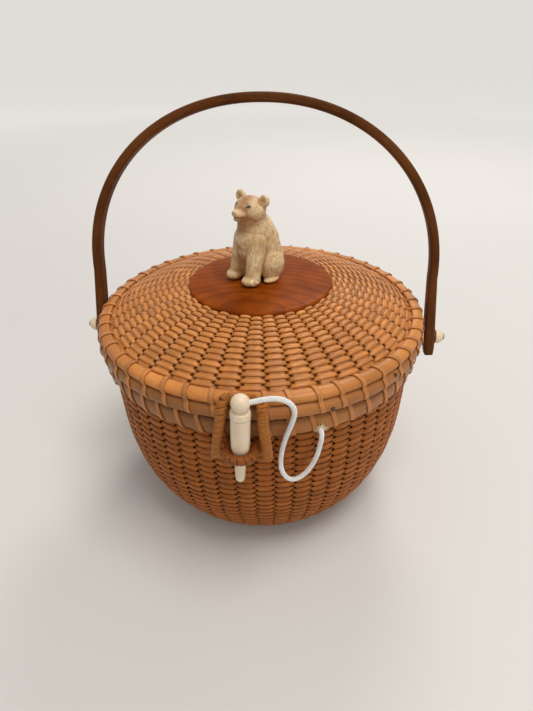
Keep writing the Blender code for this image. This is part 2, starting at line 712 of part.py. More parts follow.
def make_lid_rim(carrier):
    """Outer and inner hoop of the lid, the capped lashing that binds them, and the two nails in the hoop."""
    outline, outer = hoop_outline(
        LID_HOOP_INNER, LID_BOTTOM, LID_HOOP_THICKNESS, LID_HOOP_HEIGHT, LID_HOOP_OUTLINE_SHARES
    )
    hoop = add_object("lid_outer_hoop", turned_shape(outline), HOOP_WOOD, carrier)
    inner_hoop_outer = SKIRT_RADIUS - DOME_THICKNESS - GAP
    inner_hoop_inner = inner_hoop_outer - INNER_HOOP_THICKNESS
    inner_outline = (
        (inner_hoop_inner, LID_BOTTOM),
        (inner_hoop_outer, LID_BOTTOM),
        (inner_hoop_outer, LID_BOTTOM + LID_INNER_HOOP_HEIGHT),
        (inner_hoop_inner, LID_BOTTOM + LID_INNER_HOOP_HEIGHT),
    )
    add_object("lid_inner_hoop", turned_shape(inner_outline), HOOP_WOOD, carrier)
    cap_inner = LID_HOOP_INNER - LID_CAP_REACH
    cap_outer = outer[-1][0] + GAP
    cap_bottom = LID_HOOP_TOP + GAP
    cap = (
        (cap_inner, cap_bottom + LID_CAP_SLOPE),
        (cap_outer, cap_bottom),
        (cap_outer, cap_bottom + CAP_THICKNESS),
        (cap_inner, cap_bottom + LID_CAP_SLOPE + CAP_THICKNESS),
    )
    lashing = lashed_cap_shape(cap, outer, LID_LASH_COUNT, LID_LASH_START)
    add_object("lid_rim_lashing", lashing, CANE, carrier)
    for number, (angle, share) in enumerate(NAIL_PLACES, 1):
        make_hoop_nail(number, hoop, outer, angle, LID_BOTTOM + share * LID_HOOP_HEIGHT, carrier)


def outline_radius(outer, height):
    """Radius of a hoop's outer face at a height."""
    for (low_radius, low), (high_radius, high) in zip(outer, outer[1:]):
        if low <= height <= high:
            return low_radius + (high_radius - low_radius) * (height - low) / (high - low)
    return max(radius for radius, _ in outer)


def make_hoop_nail(number, hoop, outer, angle, height, carrier):
    """A small nail through the lid's outer hoop, in a hole drilled for it."""
    lowest = outline_radius(outer, height - NAIL_HEAD_RADIUS)
    highest = outline_radius(outer, height + NAIL_HEAD_RADIUS)
    seat = max(lowest, highest, outline_radius(outer, height)) + GAP
    outline = (
        (0.0, 0.0),
        (NAIL_RADIUS, 0.0),
        (NAIL_RADIUS, NAIL_LENGTH),
        (NAIL_HEAD_RADIUS, NAIL_LENGTH),
        (NAIL_HEAD_RADIUS * 0.9, NAIL_LENGTH + NAIL_HEAD_THICKNESS * 0.7),
        (0.0, NAIL_LENGTH + NAIL_HEAD_THICKNESS),
    )
    shape = turned_shape(outline, SIDES_SMALL)
    place = Matrix.Rotation(angle, 4, "Z") @ Matrix.Translation((seat - NAIL_LENGTH, 0.0, height))
    shape.transform(place @ Matrix.Rotation(TURN / 4, 4, "Y"))
    add_object(f"lid_hoop_nail_{number}", shape, BRASS, carrier)
    hole = radial_rod_shape(
        NAIL_RADIUS + GAP, seat - NAIL_LENGTH - GAP, NAIL_LENGTH + OVERRUN, angle, height
    )
    cut(hoop, hole, f"hole of nail {number}")


def make_top_plate(carrier):
    """Turned and slightly crowned plate in the middle of the lid, grooved round its edge for the staves."""
    groove = PLATE_RADIUS - PLATE_GROOVE_DEPTH
    foot = PLATE_RADIUS - PLATE_FOOT_INSET
    crown = []
    for index in range(PLATE_STEPS + 1):
        share = 1.0 - index / PLATE_STEPS
        crown.append((PLATE_RADIUS * share, PLATE_EDGE_Z + PLATE_CROWN * (1.0 - share**2)))
    outline = [
        (0.0, PLATE_BOTTOM),
        (foot, PLATE_BOTTOM),
        (foot, PLATE_GROOVE_BOTTOM),
        (groove, PLATE_GROOVE_BOTTOM),
        (groove, PLATE_GROOVE_TOP),
        (PLATE_RADIUS, PLATE_GROOVE_TOP),
        *crown,
    ]
    plate = add_object("lid_top_plate", turned_shape(outline), CHERRY, carrier)
    cut(plate, screw_hole_shape(), "screw hole of the plate")


def screw_hole_shape():
    """The hole that the bear's screw runs in, through the plate and up into the bear."""
    bottom = PLATE_BOTTOM - OVERRUN
    top = PLATE_CROWN_Z + SCREW_BITE + 2 * GAP
    shape = rod_shape(SCREW_RADIUS + GAP, top - bottom)
    shape.transform(Matrix.Translation((*BEAR_PLACE, bottom)))
    return shape


def make_bear_screw(carrier):
    """Screw that holds the bear, put in from inside the lid."""
    seat = PLATE_BOTTOM - GAP
    length = PLATE_CROWN_Z + SCREW_BITE - seat
    outline = (
        (0.0, -SCREW_HEAD_THICKNESS),
        (SCREW_HEAD_RADIUS * 0.8, -SCREW_HEAD_THICKNESS),
        (SCREW_HEAD_RADIUS, -SCREW_HEAD_THICKNESS * 0.5),
        (SCREW_HEAD_RADIUS, 0.0),
        (SCREW_RADIUS, 0.0),
        (SCREW_RADIUS, length),
        (0.0, length),
    )
    shape = turned_shape(outline, SIDES_SMALL)
    shape.transform(Matrix.Translation((*BEAR_PLACE, seat)))
    add_object("bear_screw", shape, BRASS, carrier)


def make_bear(carrier):
    """Bear carved from one piece, sitting upright on the top plate."""
    shape = bmesh.new()
    for centre_share, half_share in BEAR_LUMP_SHARES:
        size = Matrix.Diagonal([share * BEAR_HEIGHT for share in half_share]).to_4x4()
        place = Matrix.Translation([share * BEAR_HEIGHT for share in centre_share])
        bmesh.ops.create_icosphere(shape, subdivisions=3, radius=1.0, matrix=place @ size)
    foot = PLATE_CROWN_Z + GAP
    shape.transform(Matrix.Translation((*BEAR_PLACE, foot)) @ Matrix.Rotation(BEAR_FACING, 4, "Z"))
    bear = add_object("carved_bear", shape, BONE, carrier)
    blend = bear.modifiers.new("one surface", "REMESH")
    blend.mode = "VOXEL"
    blend.voxel_size = BEAR_GRAIN
    fewer = bear.modifiers.new("fewer faces", "DECIMATE")
    fewer.ratio = BEAR_DETAIL
    below = bmesh.new()
    bmesh.ops.create_cube(below, size=1.0)
    below.transform(Matrix.Diagonal((BEAR_HEIGHT, BEAR_HEIGHT, BEAR_HEIGHT, 1.0)))
    below.transform(Matrix.Translation((*BEAR_PLACE, foot - BEAR_HEIGHT / 2)))
    cut(bear, below, "flat seat of the bear")
    cut(bear, screw_hole_shape(), "screw hole of the bear")


def handle_outer_line():
    """Outer line of the right half of the handle, from the foot up to the crown, as (x, height) points."""
    bottom = PIVOT_HALF_WIDTH + HANDLE_FLARE * HANDLE_DROP
    line = []
    for index in range(HANDLE_LEG_STEPS):
        share = index / HANDLE_LEG_STEPS
        x = bottom + (HANDLE_HALF_WIDTH - bottom) * share
        line.append((x, -HANDLE_DROP + (HANDLE_SHOULDER + HANDLE_DROP) * share))
    arch = HANDLE_RISE - HANDLE_SHOULDER
    for index in range(HANDLE_ARCH_STEPS + 1):
        angle = TURN / 4 * index / HANDLE_ARCH_STEPS
        x = HANDLE_HALF_WIDTH * max(math.cos(angle), 0.0) ** (2 / HANDLE_POWER)
        line.append((x, HANDLE_SHOULDER + arch * math.sin(angle) ** (2 / HANDLE_POWER)))
    line[-1] = (0.0, HANDLE_RISE)
    return line


def make_handle(carrier):
    """Steam-bent wooden handle of rounded rectangular section, thicker at its two feet."""
    right = handle_outer_line()
    line = right + [(-x, height) for x, height in reversed(right[:-1])]
    half = HANDLE_DEPTH / 2
    chamfer = HANDLE_CHAMFER
    rings = []
    for index, (x, height) in enumerate(line):
        before = Vector(line[max(index - 1, 0)])
        after = Vector(line[min(index + 1, len(line) - 1)])
        along = (after - before).normalized()
        if index in (0, len(line) - 1):
            along = Vector((0.0, 1.0 if index == 0 else -1.0))
        inward = Vector((-along[1], along[0]))
        near_foot = max(0.0, 1.0 - max(height, 0.0) / HANDLE_SHOULDER)
        thickness = HANDLE_THICKNESS + (HANDLE_FOOT_THICKNESS - HANDLE_THICKNESS) * near_foot
        section = (
            (0.0, half - chamfer),
            (chamfer, half),
            (thickness - chamfer, half),
            (thickness, half - chamfer),
            (thickness, chamfer - half),
            (thickness - chamfer, -half),
            (chamfer, -half),
            (0.0, chamfer - half),
        )
        rings.append(
            [Vector((x + inward[0] * depth, across, height + inward[1] * depth)) for depth, across in section]
        )
    shape = swept_shape(rings)
    lean = Matrix.Rotation(-HANDLE_LEAN, 4, "X")
    shape.transform(Matrix.Translation((0.0, 0.0, PIVOT_HEIGHT)) @ lean)
    handle = add_object("handle", shape, WALNUT, carrier)
    cut_pivot_hole(handle)


def make_pivots(carrier):
    """Rivet, ivory knob and ivory washer on each side, on the handle's axis."""
    reach = KNOB_X + KNOB_LENGTH - PIN_HEAD_X
    pin_outline = (
        (0.0, 0.0),
        (PIN_HEAD_RADIUS, 0.0),
        (PIN_HEAD_RADIUS, PIN_HEAD_THICKNESS),
        (PIN_RADIUS, PIN_HEAD_THICKNESS),
        (PIN_RADIUS, reach + GAP),
        (PIN_TIP_RADIUS, reach + GAP),
        (PIN_TIP_RADIUS * 0.8, reach + GAP + PIN_TIP_LENGTH * 0.7),
        (0.0, reach + GAP + PIN_TIP_LENGTH),
    )
    bore = PIN_RADIUS + GAP
    knob_face = [(KNOB_RADIUS * out, KNOB_LENGTH * up) for out, up in KNOB_OUTLINE_SHARES]
    knob_outline = [(bore, 0.0), *knob_face, (bore, KNOB_LENGTH)]
    washer_outline = (
        (bore, 0.0),
        (WASHER_RADIUS, 0.0),
        (WASHER_RADIUS, WASHER_THICKNESS),
        (bore, WASHER_THICKNESS),
    )
    for word, side in (("left", -1), ("right", 1)):
        pin = turned_shape(pin_outline, SIDES_SMALL)
        aim_along_x(pin, side, PIN_HEAD_X)
        add_object(f"pivot_rivet_{word}", pin, BRASS, carrier)
        knob = turned_shape(knob_outline, SIDES_SMALL)
        aim_along_x(knob, side, KNOB_X)
        add_object(f"handle_knob_{word}", knob, IVORY, carrier)
        washer = turned_shape(washer_outline, SIDES_SMALL)
        aim_along_x(washer, side, WASHER_X)
        add_object(f"handle_washer_{word}", washer, IVORY, carrier)


def ring_spine():
    """Path of the clasp ring: out from the wall, round in front of the peg and back, rising to the front."""
    start_y = -(WALL_RADIUS + GAP)
    flat = [(-RING_HALF_WIDTH, start_y), (-RING_HALF_WIDTH, (start_y + PEG_Y) / 2)]
    for index in range(RING_ARC_STEPS + 1):
        angle = TURN / 2 * (1.0 + index / RING_ARC_STEPS)
        flat.append((RING_HALF_WIDTH * math.cos(angle), PEG_Y + RING_HALF_WIDTH * math.sin(angle)))
    flat += [(RING_HALF_WIDTH, (start_y + PEG_Y) / 2), (RING_HALF_WIDTH, start_y)]
    points = [Vector((CLASP_X + x, y, RING_HEIGHT + RING_SLOPE * (PEG_Y - y))) for x, y in flat]
    return Spine(points, lambda along: along.cross(Vector((0.0, 0.0, 1.0))).normalized())


def make_clasp_ring():
    """Ring on the front of the basket that the peg drops through, and the cane wound round it."""
    spine = ring_spine()
    core = core_shape(spine, RING_CORE_RADIUS, RING_CORE_RADIUS, POINTS_A_TURN)
    add_object("clasp_ring_core", core, HOOP_WOOD)
    wrap = wrap_shape(
        "clasp_ring_wrap", spine, RING_CORE_RADIUS, RING_CORE_RADIUS, RING_WRAP_TURNS, RING_WRAP_SHARE
    )
    add_object("clasp_ring_wrap", wrap, CANE)


def hasp_spine():
    """Path of the hasp: up the left leg, over the hoop's shoulder, along the bar and down the right leg."""

    def leg(side, top, foot):
        return [
            Vector((
                CLASP_X + side * (top + (foot - top) * across),
                HASP_Y - HASP_STAND_OFF * forward,
                HASP_Z - HASP_DROP * down,
            ))
            for across, forward, down in HASP_LEG_SHARES
        ]

    left = leg(-1, HASP_LEFT_TOP, HASP_LEFT_FOOT)
    right = leg(1, HASP_RIGHT_TOP, HASP_RIGHT_FOOT)
    bar = [
        Vector((CLASP_X - HASP_BAR_SHARE * HASP_LEFT_TOP, HASP_Y, HASP_Z)),
        Vector((CLASP_X + HASP_BAR_SHARE * HASP_RIGHT_TOP, HASP_Y, HASP_Z)),
    ]
    points = rounded_corners([*reversed(left), *bar, *right], 2)
    return Spine(points, lambda along: along.cross(Vector((0.0, -1.0, 0.0))).normalized())


def make_hasp(carrier):
    """Hasp that hangs from the lid with a leg each side of the ring, and the cane wound round it."""
    spine = hasp_spine()
    core = core_shape(spine, HASP_CORE_HALF_WIDTH, HASP_CORE_HALF_THICKNESS, POINTS_A_TURN)
    add_object("hasp_core", core, HOOP_WOOD, carrier)
    wrap = wrap_shape(
        "hasp_wrap", spine, HASP_CORE_HALF_WIDTH, HASP_CORE_HALF_THICKNESS, HASP_WRAP_TURNS, HASP_WRAP_SHARE
    )
    add_object("hasp_wrap", wrap, CANE, carrier)


def make_peg(carrier):
    """Turned peg with a ball head, a bead below it and a thin tip, dropped through the ring."""
    outline = [(PEG_RADIUS * out, PEG_LENGTH * up) for out, up in PEG_OUTLINE_SHARES]
    shape = turned_shape(outline, SIDES_SMALL)
    shape.transform(Matrix.Translation((0.0, 0.0, -PEG_TIP_DROP)))
    lean = Matrix.Rotation(PEG_LEAN, 4, "Y")
    shape.transform(Matrix.Translation((CLASP_X, PEG_Y, RING_HEIGHT)) @ lean)
    add_object("clasp_peg", shape, IVORY, carrier)


def strap_shape(line, centre, width):
    """A flat strap of the given width along X, whose middle follows a line of (y, z) points."""
    half = HINGE_STRAP_THICKNESS / 2
    rings = []
    for index, point in enumerate(line):
        before = Vector(line[max(index - 1, 0)])
        after = Vector(line[min(index + 1, len(line) - 1)])
        along = (after - before).normalized()
        off = Vector((-along[1], along[0])) * half
        corners = ((-1, 1), (1, 1), (1, -1), (-1, -1))
        rings.append(
            [Vector((centre + x * width / 2, point[0] + s * off[0], point[1] + s * off[1])) for x, s in corners]
        )
    return swept_shape(rings)


def hinge_loop(turn_sign):
    """Points of a strap's loop round the hinge rod, from its inner side over or under the rod."""
    points = []
    for index in range(HINGE_LOOP_STEPS + 1):
        angle = TURN / 2 - turn_sign * HINGE_LOOP_ANGLE * index / HINGE_LOOP_STEPS
        y = HINGE_Y + HINGE_LOOP_RADIUS * math.cos(angle)
        points.append((y, HINGE_Z + HINGE_LOOP_RADIUS * math.sin(angle)))
    return points


def face_y(radius, x):
    """Where the back of a hoop of this radius is at a distance from the middle, plus half a strap."""
    return math.sqrt(radius**2 - x**2) + GAP + HINGE_STRAP_THICKNESS / 2


def make_hinges(carrier):
    """Two hinges at the back: a strap on the basket and one on the lid, each looped round a rod."""
    basket_edge = HINGE_X - HINGE_BASKET_WIDTH / 2
    lid_edge = HINGE_X - HINGE_LID_WIDTH / 2
    basket_y = face_y(HOOP_OUTER + LASH_REACH, basket_edge)
    lid_y = face_y(LID_RADIUS + LASH_REACH, lid_edge)
    loop_out = HINGE_LOOP_RADIUS + HINGE_STRAP_THICKNESS / 2
    bend = HINGE_Z - loop_out
    basket_line = [
        (basket_y, HINGE_Z - HINGE_STRAP_LENGTH),
        (basket_y, bend - loop_out),
        (basket_y + (HINGE_Y - HINGE_LOOP_RADIUS - basket_y) / 2, bend),
        *hinge_loop(1),
    ]
    lid_line = [
        (lid_y, HINGE_Z + HINGE_STRAP_LENGTH),
        (lid_y, HINGE_Z + 2 * loop_out),
        *hinge_loop(-1),
    ]
    notch_half = HINGE_LID_WIDTH / 2 + GAP
    rod_half = HINGE_BASKET_WIDTH / 2 + HINGE_ROD_OVERHANG
    for word, side in (("left", -1), ("right", 1)):
        centre = side * HINGE_X
        basket_strap = add_object(
            f"hinge_strap_basket_{word}", strap_shape(basket_line, centre, HINGE_BASKET_WIDTH), LEATHER
        )
        notch = bmesh.new()
        bmesh.ops.create_cube(notch, size=1.0)
        deep = 4 * loop_out
        notch.transform(Matrix.Diagonal((2 * notch_half, deep, deep, 1.0)))
        notch.transform(Matrix.Translation((centre, HINGE_Y, bend - GAP + deep / 2)))
        cut(basket_strap, notch, f"notch of the {word} strap")
        add_object(f"hinge_strap_lid_{word}", strap_shape(lid_line, centre, HINGE_LID_WIDTH), LEATHER, carrier)
        rod = rod_shape(HINGE_ROD_RADIUS, 2 * rod_half)
        start = Matrix.Translation((centre - rod_half, HINGE_Y, HINGE_Z))
        rod.transform(start @ Matrix.Rotation(TURN / 4, 4, "Y"))
        add_object(f"hinge_rod_{word}", rod, BRASS)


def make_cord():
    """Braided cord that keeps the peg, from beside its ball to the hole in the basket's hoop."""
    route = smooth_route([Vector(point) * MM for point in CORD_ROUTE], CORD_POINTS_BETWEEN)
    curve = bpy.data.curves.new("peg_cord", "CURVE")
    curve.dimensions = "3D"
    curve.bevel_depth = CORD_DIAMETER / 2
    curve.bevel_resolution = 2
    curve.use_fill_caps = True
    spline = curve.splines.new("POLY")
    spline.points.add(len(route) - 1)
    for point, place in zip(spline.points, route):
        point.co = (*place, 1.0)
    curve.materials.append(material_of(COTTON))
    cord = bpy.data.objects.new("peg_cord", curve)
    bpy.context.scene.collection.objects.link(cord)
    length = sum((stop - start).length for start, stop in zip(route, route[1:]))
    print(f"peg_cord: {length / MM:.1f} mm long")


def main():
    for existing in list(bpy.data.objects):
        bpy.data.objects.remove(existing, do_unlink=True)
    lid = add_carrier("lid axis", (0.0, HINGE_Y, HINGE_Z))
    hasp = add_carrier("hasp axis", (CLASP_X, HASP_Y, HASP_Z))
    handle = add_carrier("handle axis", (0.0, 0.0, PIVOT_HEIGHT))
    peg = add_carrier("peg axis", (CLASP_X, PEG_Y, RING_HEIGHT))
    make_base_board()
    make_basket_wall()
    make_basket_rim()
    make_clasp_ring()
    make_lid_dome(lid)
    make_lid_rim(lid)
    make_top_plate(lid)
    make_bear_screw(lid)
    make_bear(lid)
    make_hasp(hasp)
    make_peg(peg)
    make_handle(handle)
    make_pivots(handle)
    make_hinges(lid)
    make_cord()


if __name__ == "__main__":
    main()
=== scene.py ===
"""A round lidded basket woven of cane, with a bent wooden handle, a turned peg clasp and a carved bear on its lid."""

import math
import random

import bmesh
import bpy
import numpy as np
from bpy.props import FloatProperty, FloatVectorProperty, IntProperty, PointerProperty
from mathutils import Matrix, Vector, noise


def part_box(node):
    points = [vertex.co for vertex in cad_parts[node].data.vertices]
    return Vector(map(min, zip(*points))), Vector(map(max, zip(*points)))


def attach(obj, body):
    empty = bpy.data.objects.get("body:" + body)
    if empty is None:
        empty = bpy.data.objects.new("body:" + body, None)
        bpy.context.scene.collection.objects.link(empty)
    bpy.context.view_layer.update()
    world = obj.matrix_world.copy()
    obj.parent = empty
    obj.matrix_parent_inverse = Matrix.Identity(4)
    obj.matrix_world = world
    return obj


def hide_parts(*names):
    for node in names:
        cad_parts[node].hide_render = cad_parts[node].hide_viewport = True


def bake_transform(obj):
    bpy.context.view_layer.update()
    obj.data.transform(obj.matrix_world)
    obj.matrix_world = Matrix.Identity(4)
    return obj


bl_info = {
    "name": "Woven Basket",
    "version": (1, 0, 0),
    "blender": (4, 5, 0),
    "location": "View3D > Sidebar > Basket",
    "description": "Makes a round lidded cane basket with a bent handle, a peg clasp and a carved bear",
    "category": "Object",
}

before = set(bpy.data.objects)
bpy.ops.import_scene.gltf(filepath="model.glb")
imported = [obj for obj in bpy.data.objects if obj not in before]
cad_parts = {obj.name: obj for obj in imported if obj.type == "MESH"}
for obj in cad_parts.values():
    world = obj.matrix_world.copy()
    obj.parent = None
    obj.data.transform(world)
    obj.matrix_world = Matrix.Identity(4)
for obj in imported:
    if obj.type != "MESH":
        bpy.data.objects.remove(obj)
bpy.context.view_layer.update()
MM = 0.001
TURN = 2 * math.pi
UP = Vector((0.0, 0.0, 1.0))
FORWARD = (0.0, -1.0, 0.0)

# The body's wall: its height, its bowl-shaped part and the upright part above that
WALL_TOP = 117.6 * MM
WALL_FOOT, WALL_SPREAD, WALL_POWER, WALL_UPRIGHT = 66.0 * MM, 28.4 * MM, 3.55, 10.5 * MM
# The lid's dome, from its rim to its plate
DOME_RIM, DOME_PLATE, DOME_POWER, DOME_FOOT, DOME_RISE = 92.7 * MM, 44.1 * MM, 3.18, 131.5 * MM, 15.3 * MM
STAVE_THICKNESS, STAVE_RISE = 1.3 * MM, 0.35 * MM
PLATE_TOP, PLATE_CROWN, PLATE_RADIUS = 149.2, 1.5, 43.8
BEAR_PLACE = (-1.9 * MM, 2.8 * MM, 149.5 * MM)
PIVOT_HEIGHT = 112.0 * MM

# The clasp, in millimetres
CLASP_X, PEG_Y, PEG_DROP, PEG_LEAN = 0.7, -106.3, 19.2, math.radians(2.5)
RING_RADIUS, RING_START, RING_HEIGHT, RING_SLOPE = 6.55, -94.7, 105.2, 0.257
HASP_Y, HASP_TOP, HASP_FORWARD, HASP_DROP = -99.2, 133.2, 3.9, 36.2
# Each leg of the hasp: (side, how far out its top and its foot are), and shares (out, forward, down) along it
HASP_SIDES = ((-1, 8.0, 13.5), (1, 10.4, 12.95))
HASP_SHARES = ((0.0, 0.35, -0.01), (0.12, 1.0, 0.17), (0.38, 1.0, 0.41), (0.72, 0.9, 0.7), (1.0, 0.64, 1.0))
HASP_BAR = ((CLASP_X - 4.0, -98.9, 133.9), (CLASP_X + 5.2, -98.9, 133.9))
CORD_ROUTE = (
    (3.4, -106.3, 136.2), (7.6, -106.3, 137.5), (12.7, -106.3, 139.1), (18.2, -105.5, 139.3), (22.4, -104.3, 137.2),
    (25.4, -102.9, 133.2), (26.2, -101.6, 128.2), (25.2, -100.2, 121.5), (23.2, -99.1, 114.0), (21.2, -98.3, 106.0),
    (20.0, -97.4, 98.0), (19.6, -96.6, 90.0), (20.6, -95.8, 83.2), (23.4, -95.0, 78.1), (27.2, -94.3, 77.2),
    (31.4, -93.7, 80.2), (35.2, -93.3, 86.4), (37.8, -93.3, 94.2), (39.1, -93.9, 102.6), (39.6, -93.6, 107.6),
    (39.2, -91.4, 109.8), (38.35, -88.2, 109.9), (37.9, -87.15, 109.9),
)
HOLE_BEARING, HOLE_REACH, HOLE_HEIGHT = math.radians(-66.5), 98.0 * MM, 109.9 * MM

# The handle, in millimetres: places as (x, height over the pivots)
HANDLE_FOOT, HANDLE_SHOULDER, HANDLE_TOP, HANDLE_POWER = (110.73, -11.3), (105.8, 38.0), 137.2, 2 / 2.1
HANDLE_DEPTH, HANDLE_THICKNESS, HANDLE_FOOT_EXTRA, HANDLE_LEAN = 9.5, 5.0, 1.3, math.radians(-8.0)

# The room and the camera
FLOOR_REACH, LAMP_TARGET, ROOM_LIGHT = 6.0, (0.0, 0.0, 0.1), 0.42
SENSOR, FOCAL_PIXELS, PICTURE_HEIGHT = 36.0, 493.0, 711.0
CAMERA_PLACE = (0.03186, -0.27612, 0.2751)
CAMERA_YAW, CAMERA_PITCH, CAMERA_ROLL = math.radians(5.96), math.radians(33.41), math.radians(-0.9)


# Settings a user may change


def size(name, description, default):
    """A length, given in millimetres and kept in metres."""
    return FloatProperty(name=name, description=description, default=default * MM, min=0.0, unit="LENGTH", precision=5)


def count(name, description, default):
    return IntProperty(name=name, description=description, default=default, min=3)


def angle(name, description, default):
    return FloatProperty(name=name, description=description, default=math.radians(default), subtype="ANGLE")


def colour(name, description, *default):
    return FloatVectorProperty(
        name=name, description=description, default=default, size=3, min=0.0, max=1.0, subtype="COLOR"
    )


class BasketWeaveSettings(bpy.types.PropertyGroup):
    body_staves: count("Body Staves", "Upright staves round the body; odd, so that one weaver spirals up", 55)
    body_row: size("Body Row", "Distance between rows of the body, along the wall", 2.3)
    body_strand: size("Body Strand", "Width of the body's weaver", 3.5)
    body_turn: angle("Body Turn", "Where the first stave of the body stands", 1.73)
    lid_staves: count("Lid Staves", "Staves round the lid; odd, so that one weaver spirals in", 45)
    lid_row: size("Lid Row", "Distance between rows of the lid, along the dome", 1.92)
    lid_strand: size("Lid Strand", "Width of the lid's weaver beside the plate", 3.0)
    lid_edge_strand: size("Lid Edge Strand", "Width of the lid's weaver beside the hoop", 2.7)
    lid_turn: angle("Lid Turn", "Where the first stave of the lid lies", 1.4)
    strand_thickness: size("Strand Thickness", "Thickness of the weavers", 1.1)
    wave: size("Wave", "How far a weaver swings out over a stave", 1.2)
    wander: size("Wander", "How far the rows stray from true", 0.6)


class BasketRimSettings(bpy.types.PropertyGroup):
    body_lashes: count("Body Lashes", "Cane lashes round the body's rim", 54)
    body_lash_turn: angle("Body Lash Turn", "Where the first lash of the body stands", -90.7)
    lid_lashes: count("Lid Lashes", "Cane lashes round the lid's rim", 48)
    lid_lash_turn: angle("Lid Lash Turn", "Where the first lash of the lid stands", -97.7)
    lash_width: size("Lash Width", "Width of a lash", 2.7)
    lash_thickness: size("Lash Thickness", "Thickness of a lash", 0.55)
    slant: size("Slant", "How far the foot of a lash is to the right of its top", 3.4)


class BasketClaspSettings(bpy.types.PropertyGroup):
    ring_turns: count("Ring Turns", "Turns of cane round the clasp ring", 15)
    hasp_turns: count("Hasp Turns", "Turns of cane round the hasp", 27)
    cord_diameter: size("Cord Diameter", "Diameter of the peg's cord", 2.4)
    cord_strands: count("Cord Strands", "Yarns that wind each way in the cord's braid", 6)
    cord_lay: size("Cord Lay", "Length in which a yarn goes once round the cord", 7.5)


class BasketBearSettings(bpy.types.PropertyGroup):
    height: size("Height", "Height of the bear from its feet to its ears", 51.0)
    facing: angle("Facing", "Direction in which the bear's body faces", -128.0)
    head_turn: angle("Head Turn", "How far the head looks to the bear's left", 3.0)
    grid: size("Grid", "Size of the faces that the carving is made of", 0.42)


class BasketColours(bpy.types.PropertyGroup):
    lid_cane: colour("Lid Cane", "Cane of the lid's weavers", 0.66, 0.25, 0.056)
    body_cane: colour("Body Cane", "Cane of the body's weavers", 0.43, 0.136, 0.027)
    lash_cane: colour("Lash Cane", "Cane of the lashes", 0.62, 0.24, 0.065)
    winding_cane: colour("Winding Cane", "Cane wound round the hasp", 0.47, 0.165, 0.03)
    ring_cane: colour("Ring Cane", "Cane wound round the clasp's ring", 0.30, 0.09, 0.016)
    hoop_wood: colour("Hoop Wood", "Bent wood of the inner hoops", 0.68, 0.34, 0.11)
    rim_wood: colour("Rim Wood", "Bent wood of the outer hoops", 0.44, 0.17, 0.042)
    cherry: colour("Cherry", "Wood of the base and of the lid's plate", 0.235, 0.042, 0.003)
    walnut: colour("Walnut", "Wood of the handle", 0.105, 0.032, 0.008)
    ivory: colour("Ivory", "Peg, knobs and washers", 0.82, 0.67, 0.49)
    bone: colour("Bone", "Carved bear", 0.93, 0.7, 0.39)
    stain: colour("Stain", "Brown stain in the bear's carving", 0.28, 0.12, 0.034)
    brass: colour("Brass", "Pins, rods and nails", 0.60, 0.40, 0.16)
    leather: colour("Leather", "Hinge straps", 0.23, 0.10, 0.045)
    cotton: colour("Cotton", "Peg cord", 0.99, 0.97, 0.94)
    paper: colour("Paper", "Floor and background", 0.74, 0.72, 0.69)


# Node trees


class Field:
    """A value inside a node tree, which is written in sums like a number."""

    def __init__(self, graph, socket):
        self.graph, self.socket = graph, socket

    def __add__(self, other):
        return self.graph.math("ADD", self, other)

    def __sub__(self, other):
        return self.graph.math("SUBTRACT", self, other)

    def __rsub__(self, other):
        return self.graph.math("SUBTRACT", other, self)

    def __mul__(self, other):
        return self.graph.math("MULTIPLY", self, other)

    def __truediv__(self, other):
        return self.graph.math("DIVIDE", self, other)

    def __rtruediv__(self, other):
        return self.graph.math("DIVIDE", other, self)

    def __pow__(self, other):
        return self.graph.math("POWER", self, other)

    def __abs__(self):
        return self.graph.math("ABSOLUTE", self)

    def __neg__(self):
        return self * -1.0


class Graph:
    """Adds nodes to a tree, each with its values and links in one call."""

    def __init__(self, tree):
        self.tree = tree

    def node(self, kind, inputs=None, **settings):
        node = self.tree.nodes.new(kind)
        for key, value in settings.items():
            setattr(node, key, value)
        for key, value in (inputs or {}).items():
            if isinstance(value, Field):
                self.tree.links.new(value.socket, node.inputs[key])
            else:
                node.inputs[key].default_value = value
        return node

    def out(self, kind, inputs=None, output=0, **settings):
        return Field(self, self.node(kind, inputs, **settings).outputs[output])

    def outs(self, kind, inputs=None, **settings):
        """All outputs of a new node, by name."""
        return {socket.name: Field(self, socket) for socket in self.node(kind, inputs, **settings).outputs}

    def math(self, operation, *values, clamp=False):
        return self.out("ShaderNodeMath", dict(enumerate(values)), operation=operation, use_clamp=clamp)

    def signed_power(self, value, power):
        return self.math("SIGN", value) * abs(value) ** power

    def vector(self, operation, *values):
        return self.out("ShaderNodeVectorMath", dict(enumerate(values)), operation=operation)

    def length(self, vector):
        return self.out("ShaderNodeVectorMath", {0: vector}, "Value", operation="LENGTH")

    def scaled(self, vector, factor):
        return self.out("ShaderNodeVectorMath", {"Vector": vector, "Scale": factor}, operation="SCALE")

    def turned(self, vector, bearing):
        inputs = {"Vector": vector, "Angle": bearing}
        return self.out("ShaderNodeVectorRotate", inputs, rotation_type="Z_AXIS")

    def combine(self, x=0.0, y=0.0, z=0.0):
        return self.out("ShaderNodeCombineXYZ", {"X": x, "Y": y, "Z": z})

    def split(self, vector):
        return list(self.outs("ShaderNodeSeparateXYZ", {"Vector": vector}).values())

    def rescale(self, value, low, high, start=0.0, stop=1.0):
        return self.out("ShaderNodeMapRange", {0: value, 1: low, 2: high, 3: start, 4: stop})

    def noise(self, vector, scale, detail=2.0, roughness=0.5):
        inputs = {"Vector": vector, "Scale": scale, "Detail": detail, "Roughness": roughness}
        return self.out("ShaderNodeTexNoise", inputs)


SOCKETS = {float: "NodeSocketFloat", int: "NodeSocketInt", tuple: "NodeSocketVector"}


def titled(values):
    """Values under the labels that their sockets have."""
    return {label.replace("_", " ").title(): value for label, value in values.items()}


